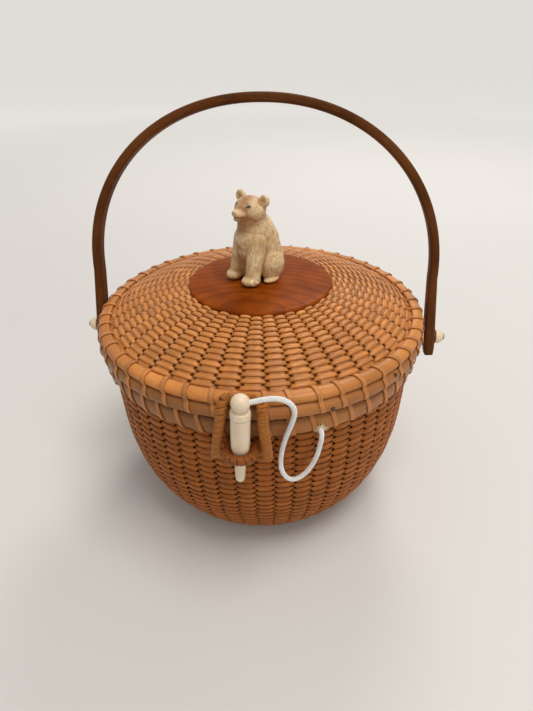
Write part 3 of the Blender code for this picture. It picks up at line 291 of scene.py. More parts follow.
def open_tree(kind, name, inputs, outputs):
    """A node group with named inputs and outputs, as its graph and its inputs by name."""
    tree = bpy.data.node_groups.new(name, kind)
    for label, value in inputs.items():
        socket_type = value if isinstance(value, str) else SOCKETS[type(value)]
        socket = tree.interface.new_socket(label, in_out="INPUT", socket_type=socket_type)
        if not isinstance(value, str):
            socket.default_value = value
    for label, socket_type in outputs.items():
        tree.interface.new_socket(label, in_out="OUTPUT", socket_type=socket_type)
    graph = Graph(tree)
    return graph, graph.outs("NodeGroupInput")


def geometry_tree(name, **inputs):
    """A geometry tree that grows its shape along a line, as its graph, its inputs and the line as a curve."""
    sockets = {"Geometry": "NodeSocketGeometry", **titled(inputs), "Material": "NodeSocketMaterial"}
    graph, given = open_tree("GeometryNodeTree", name, sockets, {"Geometry": "NodeSocketGeometry"})
    return graph, given, graph.out("GeometryNodeMeshToCurve", {"Mesh": given["Geometry"]})


def store(graph, geometry, name, value, kind="FLOAT", domain="POINT"):
    """Keeps a field on the points of a shape under a name."""
    inputs = {"Geometry": geometry, "Name": name, 3: value}
    return graph.out("GeometryNodeStoreNamedAttribute", inputs, data_type=kind, domain=domain)


def named(graph, name, kind="FLOAT"):
    return graph.out("GeometryNodeInputNamedAttribute", {"Name": name}, data_type=kind)


def moved(graph, geometry, place):
    return graph.out("GeometryNodeSetPosition", {"Geometry": geometry, "Position": place})


def point_line(graph, total):
    """A line with so many points, and the number of each."""
    inputs = {"Count": total, "Offset": (0.0, 0.0, MM)}
    return graph.out("GeometryNodeMeshLine", inputs, mode="OFFSET"), graph.out("GeometryNodeInputIndex")


def at_length(graph, curve, down):
    """Place and direction of a curve at a length along it."""
    sample = graph.outs("GeometryNodeSampleCurve", {"Curves": curve, "Length": down}, mode="LENGTH")
    return sample["Position"], sample["Tangent"]


def outward_of(graph, tangent):
    """The direction to the right of an upright profile."""
    x, _, z = graph.split(tangent)
    return graph.combine(z, 0.0, -x)


def flat_strip(graph, width, thickness, points):
    """Section of a flat strip with round edges: its thickness along X, its width along Y."""
    ring = graph.out("GeometryNodeCurvePrimitiveCircle", {"Resolution": points, "Radius": 0.5})
    ring = graph.out("GeometryNodeTransform", {"Geometry": ring, "Rotation": (0.0, 0.0, math.pi / points)})
    x, y, _ = graph.split(graph.out("GeometryNodeInputPosition"))
    ring = store(graph, ring, "across", graph.signed_power(y * 2.0, 0.55))
    ring = moved(graph, ring, graph.combine(x, named(graph, "across") * 0.5))
    return graph.out("GeometryNodeTransform", {"Geometry": ring, "Scale": graph.combine(thickness, width, 1.0)})


def sweep(graph, curve, normal, section, scale=1.0):
    """Carries a section along a curve with its X side turned to the wanted direction."""
    curve = graph.out("GeometryNodeSetCurveNormal", {"Curve": curve, "Normal": normal}, mode="FREE")
    inputs = {"Curve": curve, "Profile Curve": section, "Scale": scale, "Fill Caps": True}
    return graph.out("GeometryNodeCurveToMesh", inputs)


def stand_round(graph, given, shape, stray=0.0):
    """Copies of a shape that stand round the Z axis, each with its own strand number."""
    posts = graph.out("GeometryNodeMeshLine", {"Count": given["Count"], "Offset": (0.0, 0.0, 0.0)}, mode="OFFSET")
    index = graph.out("GeometryNodeInputIndex")
    bearing = index / given["Count"] * TURN + given["Turn"] + stray
    inputs = {"Points": posts, "Instance": shape, "Rotation": graph.combine(z=bearing)}
    ring = graph.out("GeometryNodeInstanceOnPoints", inputs)
    return store(graph, ring, "strand", index, domain="INSTANCE")


def finish_tree(graph, given, geometry, *spare):
    """Ends a geometry tree: copies made real, helper attributes dropped, smooth faces and the material."""
    geometry = graph.out("GeometryNodeRealizeInstances", {"Geometry": geometry})
    for name in spare:
        geometry = graph.out("GeometryNodeRemoveAttribute", {"Geometry": geometry, "Name": name})
    geometry = graph.out("GeometryNodeSetShadeSmooth", {"Geometry": geometry, "Shade Smooth": True})
    geometry = graph.out("GeometryNodeSetMaterial", {"Geometry": geometry, "Material": given["Material"]})
    graph.node("NodeGroupOutput", {"Geometry": geometry})


def weaver_tree():
    """One long strand that spirals along a profile turned about Z, and goes over and under its staves."""
    graph, given, profile = geometry_tree(
        "Weaver", staves=55, points_per_stave=4, row=2.3 * MM, wave=1.0 * MM, wander=0.3 * MM, start_width=4.0 * MM,
        end_width=4.0 * MM, thickness=1.0 * MM, turn=0.0, seed=1.0,
    )
    step, row, start_width = given["Points Per Stave"], given["Row"], given["Start Width"]
    length = graph.out("GeometryNodeCurveLength", {"Curve": profile})
    per_turn = given["Staves"] * step
    line, index = point_line(graph, graph.math("FLOOR", length / row * per_turn))
    # The points gather where the strand crosses between two staves
    turns = (graph.math("SINE", index * TURN / step) * (step * 0.135) + index) / per_turn
    bearing = turns * TURN + given["Turn"]
    swing = graph.signed_power(graph.math("COSINE", index * math.pi / step), 0.95)
    stray = (graph.noise(graph.combine(bearing * 22.0, turns * 0.8, given["Seed"]), 1.0, 1.0) - 0.5) * given["Wander"]
    down = turns * row + stray
    place, tangent = at_length(graph, profile, down)
    outward = outward_of(graph, tangent)
    place = graph.vector("ADD", place, graph.scaled(outward, (swing + stray * 500.0) * given["Wave"]))
    width = (given["End Width"] - start_width) * (down / length) + start_width
    narrow = graph.rescale(abs(swing), 0.0, 0.85, 0.63, 1.0)
    line = store(graph, line, "facing", graph.turned(outward, bearing), "FLOAT_VECTOR")
    values = {"lift": swing, "girth": width / start_width * narrow, "along": turns * TURN * 0.08, "strand": turns}
    for name, value in values.items():
        line = store(graph, line, name, value)
    line = moved(graph, line, graph.turned(place, bearing))
    path = graph.out("GeometryNodeMeshToCurve", {"Mesh": line})
    section = flat_strip(graph, start_width, given["Thickness"], 6)
    shape = sweep(graph, path, named(graph, "facing", "FLOAT_VECTOR"), section, named(graph, "girth"))
    finish_tree(graph, given, shape, "facing", "girth")


def stave_tree():
    """Staves that follow a profile and stand all round the Z axis, wider where the profile is farther out."""
    graph, given, profile = geometry_tree(
        "Staves", count=55, width=6.0 * MM, at_radius=90.0 * MM, thickness=0.9 * MM, turn=0.0
    )
    profile = store(graph, profile, "along", graph.outs("GeometryNodeSplineParameter")["Length"])
    outward = outward_of(graph, graph.out("GeometryNodeInputTangent"))
    radius = graph.split(graph.out("GeometryNodeInputPosition"))[0]
    section = flat_strip(graph, given["Width"], given["Thickness"], 6)
    stave = sweep(graph, profile, outward, section, radius / given["At Radius"])
    finish_tree(graph, given, stand_round(graph, given, stave))


def lash_tree():
    """Flat cane lashes round a rim: each follows the profile and slants, and stands a little off its place."""
    graph, given, profile = geometry_tree(
        "Lashes", count=54, width=2.6 * MM, thickness=0.5 * MM, slant=3.4 * MM, radius=0.1, turn=0.0, jitter=0.012,
        seed=3,
    )
    spline = graph.outs("GeometryNodeSplineParameter")
    outward = outward_of(graph, graph.out("GeometryNodeInputTangent"))
    profile = store(graph, profile, "facing", outward, "FLOAT_VECTOR")
    profile = store(graph, profile, "along", spline["Length"])
    lean = (0.5 - spline["Factor"]) * (given["Slant"] / given["Radius"])
    profile = moved(graph, profile, graph.turned(graph.out("GeometryNodeInputPosition"), lean))
    section = flat_strip(graph, given["Width"], given["Thickness"], 8)
    lash = sweep(graph, profile, named(graph, "facing", "FLOAT_VECTOR"), section)
    index, jitter = graph.out("GeometryNodeInputIndex"), given["Jitter"]
    inputs = {2: -jitter, 3: jitter, "ID": index, "Seed": given["Seed"]}
    stray = graph.out("FunctionNodeRandomValue", inputs, 1, data_type="FLOAT")
    finish_tree(graph, given, stand_round(graph, given, lash, stray), "facing")


def winding_tree():
    """A flat strip wound round a path of oval section."""
    graph, given, path = geometry_tree(
        "Winding", turns=14, points_per_turn=20, half_width=2.0 * MM, half_height=2.0 * MM, thickness=0.8 * MM,
        strip=2.0 * MM, across=(0.0, 0.0, 1.0), margin=1.0 * MM, taper=0.1 * MM,
    )
    half_width, half_height, margin = given["Half Width"], given["Half Height"], given["Margin"]
    length = graph.out("GeometryNodeCurveLength", {"Curve": path})
    total = given["Turns"] * given["Points Per Turn"]
    line, index = point_line(graph, total)
    down = index / total * (length - margin * 2.0) + margin
    place, tangent = at_length(graph, path, down)
    side = graph.vector("NORMALIZE", graph.vector("CROSS_PRODUCT", tangent, given["Across"]))
    rise = graph.vector("NORMALIZE", graph.vector("CROSS_PRODUCT", tangent, side))
    bearing = index * TURN / given["Points Per Turn"]
    cosine, sine = graph.math("COSINE", bearing), graph.math("SINE", bearing)
    # Both ends of the winding pinch in
    from_end = graph.math("DIVIDE", graph.math("MINIMUM", down, length - down), given["Taper"], clamp=True)
    pinch = graph.rescale(graph.math("SINE", from_end * (TURN / 4)), 0.0, 1.0, 0.4, 1.0)

    def both(along_side, along_rise):
        return graph.vector("ADD", graph.scaled(side, along_side), graph.scaled(rise, along_rise))

    reach = graph.scaled(both(cosine * half_width, sine * half_height), pinch)
    facing = graph.vector("NORMALIZE", both(cosine / half_width, sine / half_height))
    line = store(graph, line, "facing", facing, "FLOAT_VECTOR")
    line = store(graph, line, "along", bearing * half_width)
    line = store(graph, line, "strand", bearing / TURN)
    line = moved(graph, line, graph.vector("ADD", place, reach))
    strip = graph.out("GeometryNodeMeshToCurve", {"Mesh": line})
    section = flat_strip(graph, given["Strip"], given["Thickness"], 8)
    shape = sweep(graph, strip, named(graph, "facing", "FLOAT_VECTOR"), section)
    finish_tree(graph, given, shape, "facing")


# Materials


def grain_group():
    """Fibres that run along a strip: streaks, larger patches, and painted shade on its hidden parts, where its lift is
    low.
    """
    inputs = {"Fibre Length": 9.0 * MM, "Fibres": 5.0, "Patch Length": 45.0 * MM, "Dirt": 0.8}
    graph, given = open_tree(
        "ShaderNodeTree", "Cane Grain", inputs, dict.fromkeys(("Streak", "Patch", "Soot"), "NodeSocketFloat")
    )
    strand, along, across, lift = (kept(graph, name) for name in ("strand", "along", "across", "lift"))
    strand = strand * 7.31
    fibres = graph.combine(along / given["Fibre Length"], across * given["Fibres"], strand)
    patches = graph.combine(along / given["Patch Length"], strand * 3.7, 0.5)
    graph.node("NodeGroupOutput", {
        "Streak": graph.rescale(graph.noise(fibres, 1.0, 3.0, 0.6), 0.3, 0.7),
        "Patch": graph.rescale(graph.noise(patches, 1.0, 2.0, 0.6), 0.32, 0.68),
        # Painted shade: darker where the strand's lift is low, where it goes under its neighbours, by the strength
        # input
        "Soot": graph.math("MULTIPLY", graph.rescale(lift, 0.3, -0.7), given["Dirt"], clamp=True),
    })


def wear_group():
    """Slow changes of tone over a whole piece, and fine specks."""
    inputs = {"Size": 30.0 * MM, "Speck": 1.2 * MM}
    graph, given = open_tree(
        "ShaderNodeTree", "Handling Wear", inputs, dict.fromkeys(("Tone", "Speck"), "NodeSocketFloat")
    )
    place = object_place(graph)
    graph.node("NodeGroupOutput", {
        "Tone": graph.rescale(graph.noise(place, 1.0 / given["Size"], 3.0, 0.55), 0.3, 0.7),
        "Speck": graph.rescale(graph.noise(place, 1.0 / given["Speck"], 2.0, 0.6), 0.58, 0.74),
    })


def kept(graph, name, output="Fac"):
    """A value that a mesh keeps under a name."""
    return graph.out("ShaderNodeAttribute", None, output, attribute_name=name)


def object_place(graph):
    return graph.out("ShaderNodeTexCoord", None, "Object")


def shade(base, factor, green=1.0, blue=1.0):
    """A colour made lighter or darker, with less or more green and blue, and its alpha."""
    parts = (base[0] * factor, base[1] * green * factor, base[2] * blue * factor)
    return (*(min(max(part, 0.0), 1.0) for part in parts), 1.0)


FINISHES = {}


class Paint(Graph):
    """The node tree of one material under construction, with its Principled BSDF."""

    def __init__(self, name, **constants):
        material = FINISHES[name] = bpy.data.materials.new("basket " + name)
        material.use_nodes = True
        super().__init__(material.node_tree)
        self.surface = self.tree.nodes["Principled BSDF"]
        for label, value in titled(constants).items():
            self.surface.inputs[label.replace("Ior", "IOR")].default_value = value

    def group(self, name, **values):
        """Outputs of a shared group, in their order."""
        return list(self.outs("ShaderNodeGroup", titled(values), node_tree=bpy.data.node_groups[name]).values())

    def grain(self, **values):
        return self.group("Cane Grain", **values)

    def wear(self, **values):
        return self.group("Handling Wear", **values)

    def mix(self, factor, first, second):
        return self.out("ShaderNodeMix", {0: factor, 6: first, 7: second}, 2, data_type="RGBA")

    def set(self, label, value):
        self.tree.links.new(value.socket, self.surface.inputs[label])

    def finish(self, colour, height, distance, strength):
        """Sets the colour, and the bump of a height."""
        self.set("Base Color", colour)
        self.set("Normal", self.out("ShaderNodeBump", {"Height": height, "Distance": distance, "Strength": strength}))


def cane_material(name, base, dirt=0.0, fibres=5.0, gloss=0.1, shine=0.2, patch=45.0):
    """Split cane: long fibres, patches of tone, a worn gloss and painted shade where the strand goes under."""
    paint = Paint(name, coat_weight=gloss, coat_roughness=0.22, specular_ior_level=shine)
    streak, patches, painted_shade = paint.grain(dirt=dirt, fibres=fibres, patch_length=patch * MM)
    tone, speck = paint.wear()
    colour = paint.mix(patches, shade(base, 0.7), shade(base, 1.25))
    colour = paint.mix(tone * 0.35, colour, shade(base, 0.8, 0.86, 0.7))
    colour = paint.mix((1.0 - streak) * 0.38, colour, shade(base, 0.45))
    colour = paint.mix(speck * 0.35, colour, shade(base, 0.32))
    # Painted shade where the strand goes under
    colour = paint.mix(painted_shade, colour, shade(base, 0.16, 0.7, 0.5))
    paint.set("Roughness", paint.rescale(streak, 0.0, 1.0, 0.5, 0.32))
    paint.finish(colour, streak, 0.07 * MM, 0.7)


def plate_material(name, base):
    """Flat-sawn cherry: year rings as arches, fine pores along them and a soft polish."""
    paint = Paint(name, coat_roughness=0.3, specular_ior_level=0.03)
    place = object_place(paint)
    waves = paint.out("ShaderNodeTexNoise", {"Vector": place, "Scale": 28.0, "Detail": 1.0}, 1)
    wavy = paint.vector("ADD", place, paint.scaled(waves, 9.0 * MM))
    mapping = {"Vector": wavy, "Location": (-0.001, 0.034, 0.0), "Scale": (0.52, 1.0, 0.12)}
    away = paint.length(paint.out("ShaderNodeMapping", mapping))
    ring = paint.math("FRACT", (paint.noise(place, 14.0, 1.0) * (12.0 * MM) + away) * 185.0)
    late = paint.rescale(ring, 0.55, 0.97) * paint.rescale(ring, 1.0, 0.965)
    fine = paint.out("ShaderNodeMapping", {"Vector": place, "Scale": (160.0, 1500.0, 160.0)})
    pores = paint.rescale(paint.noise(fine, 1.0, 3.0, 0.65), 0.52, 0.72)
    tone = paint.wear(size=18.0 * MM)[0]
    colour = paint.mix(tone, shade(base, 0.78), shade(base, 1.42, 1.2, 1.15))
    colour = paint.mix(late * 0.42, colour, shade(base, 0.32))
    colour = paint.mix(pores * 0.3, colour, shade(base, 0.45))
    paint.set("Roughness", paint.rescale(pores, 0.0, 1.0, 0.3, 0.5))
    paint.finish(colour, late * -0.3 - pores, 0.05 * MM, 0.6)


def handle_material(name, base):
    """Dark bent wood: grain that follows the bend, rubbed lighter in places."""
    paint = Paint(name, coat_roughness=0.35, specular_ior_level=0.06)
    streak = paint.grain(fibre_length=22.0 * MM, fibres=3.2, dirt=0.0)[0]
    fine = paint.grain(fibre_length=6.0 * MM, fibres=11.0, dirt=0.0)[0]
    tone = paint.wear(size=25.0 * MM)[0]
    colour = paint.mix(streak, shade(base, 0.42), shade(base, 1.8))
    colour = paint.mix((1.0 - fine) * 0.8, colour, shade(base, 0.3))
    colour = paint.mix(tone * 0.45, colour, shade(base, 2.2, 1.1))
    paint.set("Roughness", paint.rescale(fine, 0.0, 1.0, 0.55, 0.4))
    paint.finish(colour, fine, 0.08 * MM, 0.7)


def ivory_material(name, base):
    """Smooth cream material with faint rings of growth and tiny dark pits."""
    paint = Paint(name, coat_weight=0.2, coat_roughness=0.2)
    tone, speck = paint.wear(size=7.0 * MM, speck=0.5 * MM)
    stretched = paint.out("ShaderNodeMapping", {"Vector": object_place(paint), "Scale": (900.0, 900.0, 90.0)})
    lines = paint.noise(stretched, 1.0, 2.0)
    colour = paint.mix(tone, shade(base, 0.94, 0.95, 0.86), shade(base, 1.04))
    colour = paint.mix(paint.rescale(lines, 0.5, 0.75) * 0.18, colour, shade(base, 0.72))
    colour = paint.mix(speck * 0.14, colour, shade(base, 0.5))
    paint.set("Roughness", paint.rescale(lines, 0.0, 1.0, 0.3, 0.42))
    paint.finish(colour, speck * -0.5 + lines, 0.02 * MM, 0.5)


def bear_material(name, base, stain):
    """Carved bone with brown stain left in its grooves and hollows, painted shade in the same brown under the chin, on
    the throat and between the legs, and dark eyes and nostrils.
    """
    paint = Paint(name, coat_weight=0.1, coat_roughness=0.35)
    hairs = paint.rescale(paint.noise(kept(paint, "fur", "Vector"), 1.0, 2.0, 0.55), 0.46, 0.74)
    groove = hairs * kept(paint, "groove")
    tone, speck = paint.wear(size=6.0 * MM, speck=0.6 * MM)
    blotch = paint.wear(size=3.2 * MM)[0]
    colour = paint.mix(tone, shade(base, 0.8, 0.88, 0.7), shade(base, 1.16, 1.04, 1.16))
    colour = paint.mix(paint.rescale(blotch, 0.35, 0.9) * 0.34, colour, shade(stain, 1.8))
    # Stain, and painted shade under the chin, on the throat and between the legs, from the tint attribute
    colour = paint.mix(kept(paint, "tint") * paint.rescale(tone, 0.0, 1.0, 0.75, 1.0), colour, shade(stain, 1.35))
    colour = paint.mix(groove * 0.7, colour, shade(stain, 1.15))
    colour = paint.mix(kept(paint, "ink"), colour, shade(stain, 0.12))
    paint.set("Roughness", paint.rescale(groove, 0.0, 1.0, 0.42, 0.62))
    paint.finish(colour, speck * 0.15 - groove, 0.28 * MM, 0.8)


def metal_material(name, base):
    """Old brass: finger tarnish and small scratches."""
    paint = Paint(name, metallic=1.0)
    tone, speck = paint.wear(size=3.0 * MM, speck=0.3 * MM)
    colour = paint.mix(tone, shade(base, 0.55), shade(base, 1.1))
    colour = paint.mix(speck * 0.6, colour, shade(base, 0.22))
    paint.set("Roughness", paint.rescale(tone, 0.0, 1.0, 0.5, 0.28))
    paint.finish(colour, speck, 0.02 * MM, 0.5)


def leather_material(name, base):
    """Strap leather: pebbled grain and patches worn lighter."""
    paint = Paint(name, specular_ior_level=0.1)
    tone, speck = paint.wear(size=6.0 * MM, speck=0.7 * MM)
    pebbles = paint.out("ShaderNodeTexVoronoi", {"Vector": object_place(paint), "Scale": 1600.0, "Randomness": 1.0})
    colour = paint.mix(tone, shade(base, 0.6), shade(base, 1.2))
    colour = paint.mix(paint.rescale(pebbles, 0.25, 0.75, 0.0, 0.45), colour, shade(base, 0.4))
    paint.set("Roughness", paint.rescale(speck, 0.0, 1.0, 0.5, 0.72))
    paint.finish(colour, -pebbles, 0.12 * MM, 0.8)


def cotton_material(name, base):
    """Braided cotton: fine twisted fibres in each yarn, and painted shade, grey, in the gaps between them where a yarn
    goes under.
    """
    paint = Paint(name, sheen_weight=0.15, sheen_roughness=0.5, roughness=0.85)
    streak, patches, painted_shade = paint.grain(fibre_length=1.3 * MM, fibres=2.4, patch_length=14.0 * MM, dirt=0.85)
    colour = paint.mix(patches, shade(base, 0.93), shade(base, 1.05))
    colour = paint.mix((1.0 - streak) * 0.16, colour, shade(base, 0.75))
    # Painted shade in the gaps where a yarn goes under
    colour = paint.mix(painted_shade, colour, shade(base, 0.3, 0.96, 0.9))
    paint.finish(colour, streak, 0.05 * MM, 0.6)


def floor_material(name, base):
    """Pale matt paper sweep, which the camera sees grow a little lighter far away."""
    paint = Paint(name, roughness=0.9, specular_ior_level=0.2)
    tone, speck = paint.wear(size=0.3, speck=2.0 * MM)
    seen = paint.outs("ShaderNodeLightPath")["Is Camera Ray"]
    paint.surface.inputs["Emission Color"].default_value = shade(base, 1.0)
    paint.set("Emission Strength", paint.rescale(paint.length(object_place(paint)), 0.35, 2.0, 0.0, 0.55) * seen)
    paint.finish(paint.mix(tone, shade(base, 0.985), shade(base, 1.015)), speck, 0.02 * MM, 0.3)


# Cane and bent wood: the colour setting, how much of it, and what differs from the usual finish
CANES = {
    # dirt: how much painted shade falls where a strand goes under, or where a piece's lift is low
    "lid cane": ("lid_cane", 1.0, {"dirt": 0.8, "gloss": 0.3, "patch": 20.0}),
    "lid stave": ("lid_cane", 0.9, {"dirt": 0.25, "fibres": 9.0}),
    "body cane": ("body_cane", 1.0, {"dirt": 0.8, "gloss": 0.0, "shine": 0.1, "patch": 20.0}),
    "body stave": ("body_cane", 0.9, {"dirt": 0.25, "fibres": 9.0, "gloss": 0.0, "shine": 0.1}),
    # Rim wood darkened to a third: a dark sheet of painted shade, for the gap under the lid's rim and the inside of the
    # cord's hole
    "shaded cane": ("rim_wood", 0.3, {"fibres": 3.0, "gloss": 0.0, "shine": 0.1}),
    "lashing cane": ("lash_cane", 1.0, {"fibres": 4.0, "gloss": 0.15, "patch": 25.0}),
    "winding cane": ("winding_cane", 1.0, {"fibres": 4.0, "gloss": 0.05, "patch": 20.0}),
    "ring cane": ("ring_cane", 1.0, {"fibres": 4.0, "gloss": 0.05, "patch": 20.0}),
    "fine winding cane": ("winding_cane", 1.05, {"fibres": 3.0, "gloss": 0.03, "patch": 20.0}),
    "hoop wood": ("hoop_wood", 1.0, {"fibres": 3.0, "patch": 60.0}),
    "rim wood": ("rim_wood", 1.0, {"fibres": 3.0, "gloss": 0.15, "patch": 60.0}),
    # Painted shadow under the lid's band, on the top of the body's outer hoop
    "shadowed rim wood": ("rim_wood", 1.0, {"dirt": 0.75, "fibres": 3.0, "gloss": 0.15, "patch": 60.0}),
    "strip cane": ("lid_cane", 1.0, {"fibres": 3.0, "gloss": 0.2, "patch": 50.0}),
}


def make_materials(colours):
    """All finishes of the basket, kept in FINISHES under plain names."""
    grain_group()
    wear_group()
    for name, (setting, share, values) in CANES.items():
        cane_material(name, [part * share for part in getattr(colours, setting)], **values)
    cane_material("torn cane", (0.92, 0.68, 0.42), fibres=3.0, gloss=0.0)
    plate_material("cherry", colours.cherry)
    handle_material("walnut", colours.walnut)
    ivory_material("ivory", colours.ivory)
    bear_material("bone", colours.bone, colours.stain)
    metal_material("brass", colours.brass)
    metal_material("dark nail", [part * 0.2 for part in colours.brass])
    leather_material("strap leather", colours.leather)
    cotton_material("cord cotton", colours.cotton)
    floor_material("pale paper", colours.paper)


# Shapes


def metres(points):
    """Points of a table, which are in millimetres."""
    return np.array(points, float) * MM


def upright(points):
    """Points of (radius, height), put in the XZ plane."""
    return np.insert(points, 1, 0.0, axis=1)


def placed(points, place):
    """Points moved by a matrix."""
    return points @ np.array(place.to_3x3()).T + np.array(place.translation)


def unit(vectors):
    return vectors / np.linalg.norm(vectors, axis=1)[:, None]


def directions(path):
    """Unit direction of a line at each of its points."""
    return unit(np.gradient(path, axis=0))


def running_length(path):
    """How far each point of a line is from the line's start."""
    return np.concatenate([[0.0], np.cumsum(np.linalg.norm(np.diff(path, axis=0), axis=1))])


def evenly(path, steps):
    """The same line with so many points, all as far apart."""
    run = running_length(path)
    even = np.linspace(0.0, run[-1], steps)
    return np.column_stack([np.interp(even, run, column) for column in path.T])


def smooth_points(points, between):
    """A curve through given points, with some points between each two of them."""
    points = np.array(points, float)
    ends = np.vstack([2 * points[0] - points[1], points, 2 * points[-1] - points[-2]])
    steps = np.arange(between)[:, None] / between
    route = []
    for a, b, c, d in zip(ends, ends[1:], ends[2:], ends[3:]):
        square, cube = 2 * a - 5 * b + 4 * c - d, 3 * b - a - 3 * c + d
        route.append((2 * b + (c - a) * steps + square * steps**2 + cube * steps**3) / 2)
    return np.vstack([*route, points[-1:]])


def add_piece(name, mesh, finish=None, smooth=True):
    """Puts a mesh in the scene as an object at the origin."""
    piece = bpy.data.objects.new(name, mesh)
    bpy.context.scene.collection.objects.link(piece)
    if finish:
        mesh.materials.clear()
        mesh.materials.append(FINISHES[finish])
    if smooth:
        mesh.shade_smooth()
    return piece


def keep(piece, body, slot, *nodes):
    """Puts a finished piece on its body, in the place of the plain solids that it stands for."""
    if nodes:
        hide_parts(*nodes)
    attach(piece, body)


def made_of(source):
    """The mesh that an object's modifiers make, in place of the object."""
    mesh = bpy.data.meshes.new_from_object(source.evaluated_get(bpy.context.evaluated_depsgraph_get()))
    bpy.data.objects.remove(source)
    return mesh


def close_shape(shape, mesh):
    """Writes a shape under construction into a mesh."""
    shape.to_mesh(mesh)
    shape.free()
    return mesh


def grow(name, points, tree_name, finish, **values):
    """Runs a geometry tree on a line of points, and keeps what it makes as a plain mesh."""
    mesh = bpy.data.meshes.new(name + " line")
    mesh.from_pydata([tuple(point) for point in points], [(i, i + 1) for i in range(len(points) - 1)], [])
    source = add_piece(name + "_line", mesh, smooth=False)
    modifier = source.modifiers.new(tree_name, "NODES")
    modifier.node_group = bpy.data.node_groups[tree_name]
    given = {**titled(values), "Material": FINISHES[finish]}
    for item in modifier.node_group.interface.items_tree:
        if item.item_type == "SOCKET" and item.in_out == "INPUT" and item.name in given:
            value = given.pop(item.name)
            if isinstance(value, tuple):
                for axis, part in enumerate(value):
                    modifier[item.identifier][axis] = part
            else:
                modifier[item.identifier] = value
    if given:
        raise RuntimeError(f"{name}: the tree {tree_name} has no input {sorted(given)}")
    made = made_of(source)
    if not made.polygons:
        raise RuntimeError(f"{name}: the tree {tree_name} made no faces")
    return add_piece(name, made, smooth=False)


def join(name, *pieces):
    """Joins pieces into the first one, with a material for each."""
    with bpy.context.temp_override(active_object=pieces[0], selected_editable_objects=list(pieces)):
        bpy.ops.object.join()
    pieces[0].name = name
    return pieces[0]


def store_values(mesh, **fields):
    """Keeps named values on the points of a mesh."""
    for name, values in fields.items():
        attribute = mesh.attributes.new(name, "FLOAT", "POINT")
        attribute.data.foreach_set("value", np.asarray(values, np.float32).ravel())


def grid_piece(name, points, finish, close_u=False, caps=False, **fields):
    """A surface through a grid of points, closed across, with its faces outwards and its values kept."""
    rows, columns = points.shape[:2]
    u, v = np.arange(rows if close_u else rows - 1)[:, None], np.arange(columns)[None, :]
    near_row, far_row, beside = u * columns, (u + 1) % rows * columns, (v + 1) % columns
    faces = np.stack([near_row + v, near_row + beside, far_row + beside, far_row + v], -1).reshape(-1, 4).tolist()
    if caps:
        faces += [list(range(columns))[::-1], [(rows - 1) * columns + index for index in range(columns)]]
    mesh = bpy.data.meshes.new(name)
    mesh.from_pydata(points.reshape(-1, 3).tolist(), [], faces)
    store_values(mesh, **{label: np.broadcast_to(values, (rows, columns)) for label, values in fields.items()})
    shape = bmesh.new()
    shape.from_mesh(mesh)
    bmesh.ops.remove_doubles(shape, verts=shape.verts, dist=1e-7)
    bmesh.ops.recalc_face_normals(shape, faces=shape.faces)
    if shape.calc_volume(signed=True) < 0:
        bmesh.ops.reverse_faces(shape, faces=shape.faces)
    return add_piece(name, close_shape(shape, mesh), finish)


def turned_piece(name, outline, finish, sides=160, place=None, lift=1.0):
    """A shape turned on a lathe from (radius, height) points, with its grain round the axis."""
    outline = np.array(outline, float)
    closed = bool(np.allclose(outline[0], outline[-1]))
    rows = len(outline) - closed
    bearings = (np.arange(sides) / sides + 0.25) * TURN
    points = np.empty((rows, sides, 3))
    points[..., 0] = outline[:rows, :1] * np.cos(bearings)
    points[..., 1] = outline[:rows, :1] * np.sin(bearings)
    points[..., 2] = outline[:rows, 1:]
    if place is not None:
        points = placed(points, place)
    along = bearings * outline[:, 0].max()
    across = running_length(outline)[:rows, None] / (2.0 * MM)
    lift = np.broadcast_to(lift, len(outline))[:rows, None]
    return grid_piece(name, points, finish, close_u=closed, along=along, across=across, strand=0.0, lift=lift)


def swept_piece(name, path, sections, side, finish):
    """A section carried along a path: sections are (sideways, upward) points for each place on the path."""
    ahead = directions(path)
    rise = unit(np.cross(np.array(side, float), ahead))
    side = np.cross(ahead, rise)
    sections = np.broadcast_to(np.array(sections, float), (len(path), *np.shape(sections)[-2:]))
    points = path[:, None] + sections[..., :1] * side[:, None] + sections[..., 1:] * rise[:, None]
    along = running_length(path)[:, None]
    across = sections[..., 0] / (2.0 * MM) + sections[..., 1] / (1.3 * MM)
    return grid_piece(name, points, finish, caps=True, along=along, across=across, strand=0.0, lift=1.0)


def half_round(flat, crown, low, high, shoulder):
    """Closed section of a bent hoop, flat on one side and rounded on the other; given in millimetres."""
    bearings = TURN / 4 * np.linspace(-1.0, 1.0, 15)
    radii = shoulder + (crown - shoulder) * np.maximum(np.cos(bearings), 0.0) ** 0.8
    heights = (low + high) / 2 + (high - low) / 2 * np.sin(bearings)
    return metres([(flat, low), *zip(radii, heights), (flat, high), (flat, low)])


def oval_section(wide, high, sides=14):
    """Oval section, given in millimetres."""
    turns = np.arange(sides) / sides * TURN
    return metres(np.column_stack([wide * np.cos(turns), high * np.sin(turns)]))


def rounded_section(wide, high, corner):
    """Rectangle with rounded corners, given in millimetres."""
    points = []
    for quarter, (x, y) in enumerate(((1, 1), (-1, 1), (-1, -1), (1, -1))):
        middle = Vector((x * (wide / 2 - corner), y * (high / 2 - corner)))
        for step in range(4):
            bearing = TURN / 4 * (quarter + step / 3)
            points.append(middle + corner * Vector((math.cos(bearing), math.sin(bearing))))
    return metres(points)


def rounded_corners(points, rounds):
    """Cuts the corners of a line, some times over, and keeps its ends."""
    points = np.array(points, float)
    for _ in range(rounds):
        start, stop = points[:-1], points[1:]
        cut = np.stack([start * 0.75 + stop * 0.25, start * 0.25 + stop * 0.75], 1)
        points = np.vstack([points[:1], cut.reshape(-1, 3), points[-1:]])
    return points


